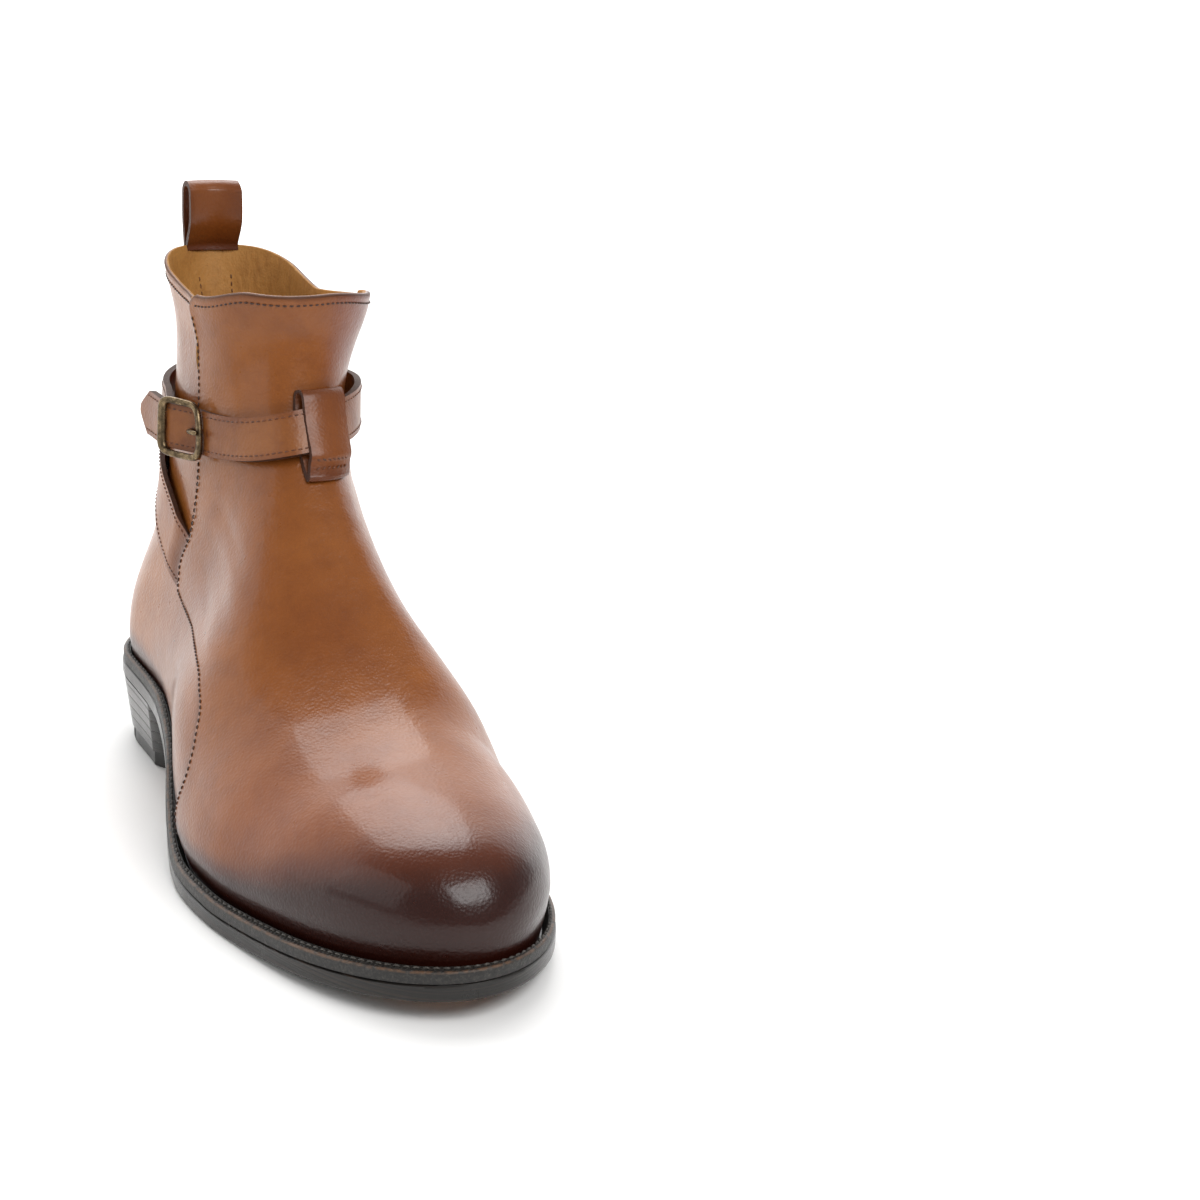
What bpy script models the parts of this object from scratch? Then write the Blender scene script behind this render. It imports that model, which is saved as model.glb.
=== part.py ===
"""Jodhpur boot for the right foot: empty, buckled and standing on its sole.

Metres, +Z up. The toe points along -Y and the heel along +Y. The lateral side, which carries the
buckle, is -X, and the medial side is +X. The origin is under the middle of the boot's box, on the floor.

The upper's form is one formula, skin(side, y, z): the half-width of the boot at a place of its side view.
It is the width of the foot or of the ankle there, closed by rounded caps along the ridge (toe, instep
and front of the shaft) and along the back. The upper, strap, sling, keeper and loop all read it.
"""

import math

import bmesh
import bpy
import numpy as np
from mathutils import Matrix

# Sole and heel
SOLE_LENGTH = 0.306
BALL_WIDTH = 0.112
HEEL_HEIGHT = 0.0270
HEEL_TAPER = 0.0032
HEEL_BREAST_HOLLOW = 0.0045
HEEL_CORNER = 0.0050
BREAST_PLACE = 0.245
SEAT_END = 0.28
SEAT_SLOPE = 0.125
TOP_PIECE_THICK = 0.0060
SPLIT_PLACE = 0.105
SPLIT_SLANT = 0.16
TOE_SPRING = 0.0080
OUTSOLE_THICK = 0.0055
WELT_THICK = 0.0040
WELT_REACH_TOE = 0.0060
WELT_REACH_WAIST = 0.0048
WELT_REACH_HEEL = 0.0040
EDGE_ROUND = 0.0009
INSOLE_THICK = 0.0030

# Upper
COLLAR_HEIGHT = 0.1900
FLAP_CORNER_LATERAL = 0.0125
FLAP_CORNER_MEDIAL = 0.0060
QUARTER_DROP = 0.0070
FLAP_FLARE = 0.0165
WALL = 0.0018
VAMP_STEP = 0.0012
BACK_LAG = 2.2
SEAM_EDGE = 0.001
SEAM_EASE = 0.06
SHAFT_WIDTH = 0.0760
INSTEP_DEPTH = 0.0580
BACK_DEPTH = 0.0450
FEATHER_BULGE = 0.0024
WIDEST_RISE = 0.0130
OVERHANG_RISE = 0.0230

# Strap work and buckle
STRAP_WIDTH = 0.0178
STRAP_THICK = 0.0024
STRAP_HEIGHT = 0.1395
STRAP_TILT = 0.0050
STRAP_TIP = 0.0240
SLING_THICK = 0.0018
SLING_STAND_OFF = 0.0016
KEEPER_WIDTH = 0.0195
KEEPER_HEIGHT = 0.0290
KEEPER_LEATHER = 0.0016
BUCKLE_LENGTH = 0.0190
BUCKLE_BAR = 0.0024
BUCKLE_ROOM = 0.0012
PRONG_THICK = 0.0018
HOLE_FROM = -0.0045
HOLE_TO = 0.0025
TIP_STAND_OFF = 0.0090
BUCKLE_FLAT = 0.0050
BUCKLE_FALL = 0.0280
STRAP_STAND_OFF = 0.0022
BUCKLE_TURN = -0.50
KEEPER_TURN = 0.07
KEEPER_TOP = 0.0135
KEEPER_BOW = 0.0014
SLING_CLEAR = 0.008
LOOP_WIDTH = 0.0205
LOOP_RISE = 0.0225
LOOP_LEG = 0.0160
LOOP_LEATHER = 0.0020
LOOP_BOW = 0.0017

# Where one form of the upper passes into the next, as (from, to): heights as shares of COLLAR_HEIGHT,
# places as shares of SOLE_LENGTH, and turns round the collar
ANKLE_HEIGHTS = 0.22, 0.46
ANKLE_PLACES = 0.58, 0.34
SHAFT_HEIGHTS = 0.60, 0.76
INSTEP_PLACES = 0.64, 0.50
FLARE_HEIGHTS = 0.74, 1.0
FLARE_PLACES = -0.035, 0.010
FLARE_LATERAL = 0.1
LATERAL_CORNER_TURNS = 0.28, 0.52
MEDIAL_CORNER_TURNS = 0.10, 0.52
QUARTER_TURNS = 0.50, 0.86
COLLAR_LEVELS = 0.82, 1.0
BENT_LEVELS = 0.0, 0.6
STEP_LEVELS = 0.0, 0.10

# Clearance between pieces that touch
GAP = 0.0003
SEAT_GAP = 0.0005

LATERAL = -1
MEDIAL = 1

SOLE_STATIONS = 40
VAMP_COLUMNS = 12
QUARTER_COLUMNS = 14
UPPER_LEVELS = 26


def table(names, *rows):
    """The rows' columns as arrays, by name."""
    return dict(zip(names.split(), np.array(rows, float).T))


# Outsole outline: place from heel to toe as a share of SOLE_LENGTH, half-widths as shares of BALL_WIDTH.
OUTLINE = table(
    "place lateral medial",
    (0.00, 0.325, 0.335),
    (0.12, 0.325, 0.335),
    (0.25, 0.330, 0.300),
    (0.37, 0.375, 0.250),
    (0.48, 0.455, 0.275),
    (0.58, 0.510, 0.410),
    (0.68, 0.512, 0.487),
    (0.78, 0.495, 0.515),
    (0.89, 0.492, 0.528),
    (1.00, 0.492, 0.528),
)
HEEL_CAP = 0.125
TOE_CAP = 0.392

# How far the upper bulges out past the outsole's waist, as shares of BALL_WIDTH.
OVERHANG = table(
    "place lateral medial",
    (0.22, 0.000, 0.000),
    (0.37, 0.000, 0.105),
    (0.48, 0.000, 0.130),
    (0.58, 0.000, 0.065),
    (0.70, 0.000, 0.000),
)

# Underside of the outsole: rise as a share of HEEL_HEIGHT behind the ball, and of TOE_SPRING before it.
ARCH = table(
    "place heel spring",
    (0.00, 1.000, 0.000),
    (0.28, 0.965, 0.000),
    (0.36, 0.760, 0.000),
    (0.46, 0.350, 0.000),
    (0.55, 0.060, 0.000),
    (0.60, 0.000, 0.000),
    (0.70, 0.000, 0.000),
    (0.80, 0.000, 0.200),
    (0.90, 0.000, 0.550),
    (1.00, 0.000, 1.000),
)

# Ridge of the side view from the toe to the flap's top: place behind the toe as a share of SOLE_LENGTH,
# height over the outsole as a share of COLLAR_HEIGHT.
RIDGE = table(
    "behind rise",
    (0.000, 0.000),
    (0.000, 0.068),
    (0.008, 0.110),
    (0.026, 0.150),
    (0.058, 0.187),
    (0.110, 0.217),
    (0.180, 0.250),
    (0.280, 0.297),
    (0.380, 0.382),
    (0.470, 0.478),
    (0.550, 0.556),
    (0.592, 0.618),
    (0.610, 0.695),
    (0.618, 0.772),
    (0.612, 0.846),
)

# Back of the side view: height as a share of COLLAR_HEIGHT, distance before the sole's end as a share
# of SOLE_LENGTH, depth of the rounding and half-width there as shares of BACK_DEPTH and SHAFT_WIDTH, and
# how far the shaft leans towards the medial side, as a share of SHAFT_WIDTH.
BACK = table(
    "height inset depth half lean",
    (0.15, 0.0135, 0.85, 0.440, 0.010),
    (0.26, 0.0085, 0.92, 0.445, 0.025),
    (0.37, 0.0110, 1.00, 0.422, 0.050),
    (0.47, 0.0230, 1.05, 0.402, 0.070),
    (0.58, 0.0380, 1.08, 0.380, 0.088),
    (0.70, 0.0480, 1.06, 0.368, 0.095),
    (0.80, 0.0490, 0.98, 0.345, 0.100),
    (0.90, 0.0400, 0.86, 0.322, 0.095),
    (1.00, 0.0260, 0.74, 0.335, 0.080),
)

# Ridge line in plan: place as a share of SOLE_LENGTH, shift to the medial side as a share of BALL_WIDTH,
# and the powers of the cross-section's dome there.
CREST = table(
    "place shift lateral medial",
    (0.00, 0.010, 1.75, 2.80),
    (0.16, 0.020, 1.75, 2.80),
    (0.40, 0.105, 1.75, 2.80),
    (0.55, 0.110, 1.80, 2.80),
    (0.70, 0.080, 2.00, 2.25),
    (0.85, 0.045, 2.30, 2.25),
    (1.00, 0.030, 2.40, 2.40),
)

# Side seams of the vamp: height as a share of COLLAR_HEIGHT, place from the sole's heel end as a share
# of SOLE_LENGTH. The notch where the sling starts lies at 0.40.
SEAM = table(
    "height lateral medial",
    (0.12, 0.540, 0.520),
    (0.20, 0.558, 0.535),
    (0.26, 0.545, 0.525),
    (0.32, 0.512, 0.495),
    (0.355, 0.462, 0.445),
    (0.375, 0.380, 0.370),
    (0.39, 0.305, 0.310),
    (0.42, 0.273, 0.285),
    (0.51, 0.283, 0.288),
    (0.60, 0.279, 0.282),
    (0.70, 0.268, 0.272),
    (0.85, 0.250, 0.252),
    (1.00, 0.238, 0.246),
)

# The sling, from the vamp seam (0) to the middle of the back (1): its edges as shares of COLLAR_HEIGHT.
SLING = table(
    "back low high",
    (0.00, 0.400, 0.500),
    (0.20, 0.445, 0.565),
    (0.40, 0.500, 0.615),
    (0.70, 0.540, 0.645),
    (1.00, 0.550, 0.650),
)

TOE_Y = -SOLE_LENGTH / 2
HEEL_Y = SOLE_LENGTH / 2


def smooth(xs, ys, x):
    """Cubic through a table's points, level past its ends, with slopes from the neighbours."""
    x = np.clip(x, xs[0], xs[-1])
    slopes = np.gradient(ys, xs)
    i = np.clip(np.searchsorted(xs, x) - 1, 0, len(xs) - 2)
    step = xs[i + 1] - xs[i]
    t = (x - xs[i]) / step
    rise = ys[i + 1] - ys[i]
    start = step * slopes[i]
    end = step * slopes[i + 1]
    return ys[i] + t * (start + t * (3 * rise - 2 * start - end + t * (start + end - 2 * rise)))


def ease(low, high, x):
    """0 on low's side and 1 on high's side, with level ends."""
    t = np.clip((x - low) / (high - low), 0, 1)
    return t * t * (3 - 2 * t)


def cap(distance, depth):
    """0 at an edge and 1 from depth on, round between."""
    q = np.clip(1 - distance / depth, 0, 1)
    return np.sqrt(1 - q**2)


def place_of(y):
    """Share of SOLE_LENGTH from the heel's end."""
    return (HEEL_Y - y) / SOLE_LENGTH


def outline_half(side, place):
    """Half-width of the outsole before its ends are rounded."""
    column = "lateral" if side == LATERAL else "medial"
    return BALL_WIDTH * smooth(OUTLINE["place"], OUTLINE[column], place)


def underside(y):
    """Height of the outsole's underside. It is 0 under the ball, so the boot rests flat there."""
    place = place_of(y)
    heel = HEEL_HEIGHT * smooth(ARCH["place"], ARCH["heel"], place)
    spring = TOE_SPRING * smooth(ARCH["place"], ARCH["spring"], place)
    seat = HEEL_HEIGHT * (1 - SEAT_SLOPE * place)
    flat = (place > 0.59) & (place < 0.705)
    arch = np.where(place < SEAT_END, seat, np.maximum(heel, 0) + np.maximum(spring, 0))
    return np.where(flat, 0.0, arch)


def welt_reach(place):
    """How far the welt stands out past the upper."""
    to_waist = ease(0.15, 0.35, place)
    to_toe = ease(0.40, 0.60, place)
    rear = WELT_REACH_HEEL + (WELT_REACH_WAIST - WELT_REACH_HEEL) * to_waist
    return rear + (WELT_REACH_TOE - WELT_REACH_WAIST) * to_toe


def sole_half(side, y, inset=0.0):
    """Half-width of the sole's outline, drawn in by inset on its sides and both ends."""
    place = place_of(y)
    heel = cap(HEEL_Y - inset - y, HEEL_CAP * SOLE_LENGTH)
    toe = cap(y - TOE_Y - inset, TOE_CAP * SOLE_LENGTH)
    return (outline_half(side, place) - inset) * heel * toe


def sole_loop(inset=0.0, stations=SOLE_STATIONS):
    """The outline as a closed loop of (x, y): lateral side from heel to toe, then the medial side back."""
    turn = np.linspace(0, math.pi, stations + 1)
    half = SOLE_LENGTH / 2 - inset
    y = half * np.cos(turn)
    lateral = np.stack([-sole_half(LATERAL, y, inset), y], 1)
    medial = np.stack([sole_half(MEDIAL, y, inset), y], 1)
    return np.concatenate([lateral, medial[-2:0:-1]])


def feather_top(y):
    """Where the upper starts: on the outsole, a clearance up."""
    return underside(y) + OUTSOLE_THICK + SEAT_GAP


FEATHER_TOE_Y = TOE_Y + WELT_REACH_TOE
RIDGE_Y = FEATHER_TOE_Y + RIDGE["behind"] * SOLE_LENGTH
RIDGE_Z = RIDGE["rise"] * COLLAR_HEIGHT + feather_top(RIDGE_Y)


def ridge_curve(count=160):
    """The ridge as (y, z) points, evenly spread over the table's rows."""
    rows = np.arange(len(RIDGE_Y), dtype=float)
    at = np.linspace(0, rows[-1], count)
    y = np.maximum(smooth(rows, RIDGE_Y, at), FEATHER_TOE_Y)
    z = np.maximum.accumulate(smooth(rows, RIDGE_Z, at) + 1e-6 * at)
    return y, z


RIDGE_CURVE = ridge_curve()
TOE_WALL_TOP = int(np.argmax(RIDGE_CURVE[0] > FEATHER_TOE_Y + 1e-6)) - 1
SHAFT_START = int(np.argmax(RIDGE_CURVE[0]))
VAMP_RIDGE = RIDGE_CURVE[0][TOE_WALL_TOP : SHAFT_START + 1], RIDGE_CURVE[1][TOE_WALL_TOP : SHAFT_START + 1]


def front_y(z):
    """The ridge's y at a height."""
    return np.interp(z, RIDGE_CURVE[1], RIDGE_CURVE[0])


def back_value(column, z):
    """A column of the back's table at a height."""
    return smooth(BACK["height"], BACK[column], z / COLLAR_HEIGHT)


def back_y(z):
    """The back's y at a height."""
    return HEEL_Y - SOLE_LENGTH * back_value("inset", z)


def ridge_distance(y, z):
    """Distance in the side view from a place to the ridge."""
    ry, rz = RIDGE_CURVE
    ay, az = ry[:-1], rz[:-1]
    by, bz = np.diff(ry), np.diff(rz)
    py = y[..., None] - ay
    pz = z[..., None] - az
    t = np.clip((py * by + pz * bz) / np.maximum(by**2 + bz**2, 1e-12), 0, 1)
    return np.sqrt(((py - t * by) ** 2 + (pz - t * bz) ** 2).min(-1))


def foot_half(side, y, z):
    """Half-width of the foot's part of the upper, before the dome: feather edge, then the widest line."""
    place = place_of(y)
    rise = z - feather_top(y)
    swell = 1 - (1 - np.clip(rise / WIDEST_RISE, 0, 1)) ** 2
    column = "lateral" if side == LATERAL else "medial"
    overhang = BALL_WIDTH * smooth(OVERHANG["place"], OVERHANG[column], place)
    overhang = overhang * ease(WELT_THICK + EDGE_ROUND, OVERHANG_RISE, rise)
    return outline_half(side, place) - welt_reach(place) + FEATHER_BULGE * swell + overhang


def shaft_half(side, z):
    """Half-width of the heel cup and shaft."""
    return SHAFT_WIDTH * (back_value("half", z) + side * back_value("lean", z))


def closing(side, y, z):
    """0 on the silhouette of the side view and 1 well inside it."""
    place = place_of(y)
    ridge_z = np.interp(y, *VAMP_RIDGE)
    low = feather_top(y)
    depth = ridge_z - low
    widest = np.minimum(WIDEST_RISE, 0.35 * depth)
    q = np.clip((z - low - widest) / (depth - widest), 0, 1)
    power = smooth(CREST["place"], CREST["lateral" if side == LATERAL else "medial"], place)
    dome = np.maximum(1 - q**power, 0) ** (1 / power)
    shaft = ease(*SHAFT_HEIGHTS, z / COLLAR_HEIGHT)
    half_length = (back_y(z) - front_y(z)) / 2
    depth = INSTEP_DEPTH + (half_length - INSTEP_DEPTH) * shaft
    round_front = cap(ridge_distance(y, z), depth)
    instep = ease(*INSTEP_PLACES, place)
    toe = cap(y - FEATHER_TOE_Y, TOE_CAP * SOLE_LENGTH)
    heel = cap(back_y(z) - y, BACK_DEPTH * back_value("depth", z))
    return dome ** (1 - instep) * round_front**instep * toe * heel


def skin(side, y, z):
    """The x of the upper's surface on one side."""
    place = place_of(y)
    ankle = ease(*ANKLE_HEIGHTS, z / COLLAR_HEIGHT) * ease(*ANKLE_PLACES, place)
    half = foot_half(side, y, z) * (1 - ankle) + shaft_half(side, z) * ankle
    crest = BALL_WIDTH * smooth(CREST["place"], CREST["shift"], place)
    crest = crest + (SHAFT_WIDTH * back_value("lean", z) - crest) * ankle
    seam = place_of(seam_y(side, z))
    near_top = ease(*FLARE_HEIGHTS, z / COLLAR_HEIGHT) * ease(seam + FLARE_PLACES[0], seam + FLARE_PLACES[1], place)
    half = half + FLAP_FLARE * near_top * (FLARE_LATERAL if side == LATERAL else 1.0)
    return crest + side * (half - side * crest) * closing(side, y, z)


def seam_y(side, z):
    """The vamp seam's y at a height."""
    column = "lateral" if side == LATERAL else "medial"
    return HEEL_Y - SOLE_LENGTH * smooth(SEAM["height"], SEAM[column], z / COLLAR_HEIGHT)


def at_height(turn, z):
    """The surface point at a height. turn runs from -1 (back) by the lateral side to 0 (front), and on
    by the medial side to 1 (back again). The side seams lie at -0.5 and 0.5."""
    turn, z = np.broadcast_arrays(np.asarray(turn, float), np.asarray(z, float))
    turn = (turn + 1) % 2 - 1
    points = np.empty(turn.shape + (3,))
    for side in (LATERAL, MEDIAL):
        own = turn < 0 if side == LATERAL else turn >= 0
        t = np.abs(turn[own])
        height = z[own]
        front, seam, back = front_y(height), seam_y(side, height), back_y(height)
        ahead = front + (seam - front) * (1 - np.cos(math.pi / 2 * np.minimum(t / 0.5, 1)))
        behind = seam + (back - seam) * np.sin(math.pi / 2 * np.clip(t / 0.5 - 1, 0, 1))
        y = np.where(t < 0.5, ahead, behind)
        points[own] = np.stack([skin(side, y, height), y, height], -1)
    return points


def unit(v):
    return v / np.maximum(np.linalg.norm(v, axis=-1, keepdims=True), 1e-12)


def outward(turn, z):
    """Unit normal of the surface at a height."""
    along = at_height(turn + 0.004, z) - at_height(turn - 0.004, z)
    up = at_height(turn, z + 0.002) - at_height(turn, z - 0.002)
    return unit(np.cross(along, up))


def mesh_object(name, points, faces, colour, roughness, metallic=0.0):
    """A smooth-shaded object with its own material."""
    mesh = bpy.data.meshes.new(name)
    mesh.from_pydata([tuple(map(float, p)) for p in points], [], faces)
    work = bmesh.new()
    work.from_mesh(mesh)
    bmesh.ops.recalc_face_normals(work, faces=work.faces)
    bmesh.ops.triangulate(work, faces=[f for f in work.faces if len(f.verts) > 4])
    work.to_mesh(mesh)
    work.free()
    material = bpy.data.materials.new(name)
    material.use_nodes = True
    shader = material.node_tree.nodes["Principled BSDF"]
    shader.inputs["Base Color"].default_value = (*colour, 1)
    shader.inputs["Roughness"].default_value = roughness
    shader.inputs["Metallic"].default_value = metallic
    mesh.materials.append(material)
    mesh.shade_smooth()
    mesh.set_sharp_from_angle(angle=math.radians(35))
    part = bpy.data.objects.new(name, mesh)
    bpy.context.scene.collection.objects.link(part)
    return part


def ring_faces(rings, count, closed_rings=False):
    """Quads between rings of count points each. Point k of ring i has the index i * count + k."""
    faces = []
    for i in range(rings if closed_rings else rings - 1):
        a, b = i * count, (i + 1) % rings * count
        for k in range(count):
            n = (k + 1) % count
            faces.append((a + k, a + n, b + n, b + k))
    return faces


def across_faces(base, stations, flip):
    """Quads across a sole loop, between its two sides, and a triangle at each end."""
    count = 2 * stations
    faces = []
    for i in range(stations):
        a, b = base + i, base + i + 1
        c, d = base + (count - i - 1) % count, base + (count - i) % count
        corners = list(dict.fromkeys((a, b, c, d)))
        faces.append(tuple(corners[::-1] if flip else corners))
    return faces


def plate(name, profile, colour, roughness, stations=SOLE_STATIONS):
    """A plate of the sole's outline. profile lists (inset, lift) from the underside's rim to the top's
    rim, where lift is a height over the outsole's underside."""
    points = []
    for inset, lift in profile:
        loop = sole_loop(inset, stations)
        z = underside(loop[:, 1]) + lift
        points.append(np.column_stack([loop, z]))
    count = 2 * stations
    faces = ring_faces(len(profile), count)
    faces += across_faces(0, stations, False)
    faces += across_faces((len(profile) - 1) * count, stations, True)
    return mesh_object(name, np.concatenate(points), faces, colour, roughness)


def outsole():
    r = EDGE_ROUND
    top = OUTSOLE_THICK
    profile = [(r, 0), (0, r), (0, top - r / 2), (r / 2, top)]
    return plate("outsole", profile, (0.05, 0.025, 0.015), 0.3)


def level_row(t):
    """The ridge point and back point of a level. t runs from 0 at the feather edge to 1 at the collar."""
    curve_y, curve_z = RIDGE_CURVE
    at = np.linspace(0, 1, len(curve_y))
    front = np.interp(t, at, curve_y), np.interp(t, at, curve_z)
    start = feather_top(np.array(back_y(feather_top(np.array(HEEL_Y)))))
    z = start + (COLLAR_HEIGHT - start) * t**BACK_LAG
    return front, (back_y(z), z)


def sheet(y, t, front, back):
    """Height of a level at y: it follows the feather edge at the sole and is straight higher up."""
    share = np.clip((y - front[0]) / (back[0] - front[0]), 0, 1)
    straight = front[1] + (back[1] - front[1]) * share
    ends = feather_top(front[0]), feather_top(back[0])
    rise = (front[1] - ends[0]) * (1 - share) + (back[1] - ends[1]) * share
    bent = 1 - ease(*BENT_LEVELS, t)
    return straight + (feather_top(y) + rise - straight) * bent


def collar_change(turn):
    """Change of the collar's height: rounded corners of the flap, and the dip behind each of them."""
    t = np.abs(turn)
    lateral = FLAP_CORNER_LATERAL * ease(*LATERAL_CORNER_TURNS, t) ** 2
    medial = FLAP_CORNER_MEDIAL * ease(*MEDIAL_CORNER_TURNS, t)
    behind = QUARTER_DROP * (1 - ease(*QUARTER_TURNS, t))
    return -np.where(t < 0.5, np.where(turn < 0, lateral, medial), behind)


def upper_points(turns, levels):
    """The upper's surface, one row for each level, with turn as in at_height."""
    turn, t = np.meshgrid((turns + 1) % 2 - 1, np.clip(levels, 0, 1))
    front, back = level_row(t)
    points = np.empty(turn.shape + (3,))
    for side in (LATERAL, MEDIAL):
        low, high = front[0].copy(), back[0].copy()
        for _ in range(40):
            seam = (low + high) / 2
            ahead = seam < seam_y(side, sheet(seam, t, front, back))
            low = np.where(ahead, seam, low)
            high = np.where(ahead, high, seam)
        own = turn < 0 if side == LATERAL else turn >= 0
        a = np.abs(turn)
        fore = front[0] + (seam - front[0]) * (1 - np.cos(math.pi / 2 * np.minimum(a / 0.5, 1)))
        rear = seam + (back[0] - seam) * np.sin(math.pi / 2 * np.clip(a / 0.5 - 1, 0, 1))
        y = np.where(a < 0.5, fore, rear)
        z = sheet(y, t, front, back)
        x = skin(side, y, z)
        top = ease(*COLLAR_LEVELS, t)
        z = z + collar_change(turn) * top
        points[own] = np.stack([x, y, z], -1)[own]
    return points


def upper_normals(turns, levels):
    along = upper_points(turns + 0.003, levels) - upper_points(turns - 0.003, levels)
    up = upper_points(turns, levels + 0.004) - upper_points(turns, levels - 0.004)
    return unit(np.cross(along, up))


def upper():
    """One hollow wall. The vamp is raised by a leather's thickness, with a cut edge along each seam."""
    rear = np.linspace(0.5, 1, QUARTER_COLUMNS + 1)
    fore = np.linspace(0, 0.5 - SEAM_EDGE, VAMP_COLUMNS + 1)
    half = np.concatenate([fore, rear])
    turns = np.concatenate([-half[:0:-1], half[:-1]])
    levels = np.linspace(0, 1, UPPER_LEVELS)
    base = upper_points(turns, levels)
    normal = upper_normals(turns, levels)
    raised = VAMP_STEP * (np.abs(turns) < 0.5)[None, :] * ease(*STEP_LEVELS, levels)[:, None]
    outer = base + raised[..., None] * normal
    inner = base - WALL * normal
    inner[0, :, 2] = base[0, :, 2]
    count = len(turns)
    rings = np.concatenate([outer, inner[::-1]]).reshape(-1, 3)
    faces = ring_faces(2 * UPPER_LEVELS, count, closed_rings=True)
    return mesh_object("upper", rings, faces, (0.36, 0.13, 0.035), 0.35)


def rise_loop(rise, out, step=0.0, stations=SOLE_STATIONS):
    """Loop of the upper's surface at a rise over the feather edge, moved out along its normal, and by
    step more beside the raised vamp."""
    turn = np.linspace(0, math.pi, stations + 1)
    heel = back_y(feather_top(np.array(HEEL_Y)) + rise)
    y = FEATHER_TOE_Y + (heel - FEATHER_TOE_Y) * (1 + np.cos(turn)) / 2
    z = feather_top(y) + rise
    lateral = np.column_stack([skin(LATERAL, y, z), y])
    medial = np.column_stack([skin(MEDIAL, y, z), y])
    loop = np.concatenate([lateral, medial[-2:0:-1]])
    along = np.roll(loop, -1, 0) - np.roll(loop, 1, 0)
    normal = unit(np.column_stack([along[:, 1], -along[:, 0]]))
    normal *= np.sign(((loop - loop.mean(0)) * normal).sum())
    seam = min(SEAM["lateral"][0], SEAM["medial"][0])
    vamp = ease(seam - SEAM_EASE, seam, place_of(loop[:, 1]))
    return loop + (out + step * vamp)[:, None] * normal


def welt():
    """A ring on the outsole round the upper. Its inner side follows the feather edge."""
    low = OUTSOLE_THICK + GAP
    high = low + WELT_THICK
    rings = []
    for inset, lift in ((GAP, low), (GAP, high - EDGE_ROUND), (GAP + EDGE_ROUND, high)):
        loop = sole_loop(inset)
        rings.append(np.column_stack([loop, underside(loop[:, 1]) + lift]))
    for lift in (high, low):
        loop = rise_loop(lift - low, 2 * GAP, VAMP_STEP * (lift - low) / WELT_THICK)
        rings.append(np.column_stack([loop, underside(loop[:, 1]) + lift]))
    faces = ring_faces(len(rings), len(rings[0]), closed_rings=True)
    return mesh_object("welt", np.concatenate(rings), faces, (0.012, 0.010, 0.009), 0.45)


def insole():
    """A plate inside the upper's wall, on the outsole."""
    inset = WALL + 5 * GAP
    loop = rise_loop(0.0, 0.0)
    middle = (loop[:, 1].max() + loop[:, 1].min()) / 2
    length = loop[:, 1].max() - loop[:, 1].min()
    x = np.sign(loop[:, 0]) * np.maximum(np.abs(loop[:, 0]) - inset, 0)
    y = middle + (loop[:, 1] - middle) * (1 - 2 * inset / length)
    rings = [np.column_stack([x, y, feather_top(y) + lift]) for lift in (0.0, INSOLE_THICK)]
    faces = ring_faces(2, len(loop))
    faces += across_faces(0, SOLE_STATIONS, False)
    faces += across_faces(len(loop), SOLE_STATIONS, True)
    return mesh_object("insole", np.concatenate(rings), faces, (0.55, 0.36, 0.18), 0.6)


def heel_outline(inset):
    """The heel's loop of (x, y): round the back from the lateral to the medial breast corner, then
    along the hollow breast, whose ends are bevelled."""
    breast = HEEL_Y - BREAST_PLACE * SOLE_LENGTH + inset
    turn = np.linspace(0, math.pi / 2, 15)
    y = breast + HEEL_CORNER + (HEEL_Y - inset - breast - HEEL_CORNER) * np.sin(turn)
    lateral = np.column_stack([-sole_half(LATERAL, y, inset), y])
    medial = np.column_stack([sole_half(MEDIAL, y, inset), y])
    left = lateral[0, 0] + HEEL_CORNER * 0.6
    right = medial[0, 0] - HEEL_CORNER * 0.6
    across = np.linspace(1, -1, 9)
    x = (left + right) / 2 + (right - left) / 2 * across
    front = np.column_stack([x, breast + HEEL_BREAST_HOLLOW * (1 - across**2)])
    return np.concatenate([lateral, medial[-2::-1], front])


def heel_prism(name, rings, colour, roughness):
    """A solid between loops of equal count, closed by a face at each end."""
    count = len(rings[0])
    faces = ring_faces(len(rings), count)
    faces.append(tuple(range(count))[::-1])
    faces.append(tuple(range((len(rings) - 1) * count, len(rings) * count)))
    return mesh_object(name, np.concatenate(rings), faces, colour, roughness)


def heel_inset(z):
    """The heel's taper at a height."""
    return GAP + HEEL_TAPER * (1 - z / HEEL_HEIGHT)


def heel_stack():
    rings = []
    base = TOP_PIECE_THICK + GAP
    for share in (0.0, 0.5, 1.0):
        loop = heel_outline(heel_inset(base + (HEEL_HEIGHT - base) * share))
        z = base + (underside(loop[:, 1]) - GAP - base) * share
        rings.append(np.column_stack([loop, z]))
    return heel_prism("heel_stack", rings, (0.02, 0.015, 0.012), 0.3)


def cut_loop(loop, keep_rear, clearance):
    """The part of a loop behind, or ahead of, the slanted line between the rubber and the leather."""
    slope = SPLIT_SLANT
    middle = HEEL_Y - SPLIT_PLACE * SOLE_LENGTH
    sign = 1 if keep_rear else -1
    height = sign * (loop[:, 1] - middle - slope * loop[:, 0]) - clearance / 2
    kept = []
    for k in range(len(loop)):
        n = (k + 1) % len(loop)
        if height[k] >= 0:
            kept.append(loop[k])
        if (height[k] >= 0) != (height[n] >= 0):
            share = height[k] / (height[k] - height[n])
            kept.append(loop[k] + share * (loop[n] - loop[k]))
    return np.array(kept)


def top_piece(name, keep_rear, colour, roughness):
    rings = []
    for z in (0.0, EDGE_ROUND, TOP_PIECE_THICK):
        loop = cut_loop(heel_outline(heel_inset(EDGE_ROUND)), keep_rear, GAP)
        if z == 0.0:
            loop = loop + (loop.mean(0) - loop) * EDGE_ROUND / (HEEL_CAP * SOLE_LENGTH)
        rings.append(np.column_stack([loop, np.full(len(loop), z)]))
    return heel_prism(name, rings, colour, roughness)


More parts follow.
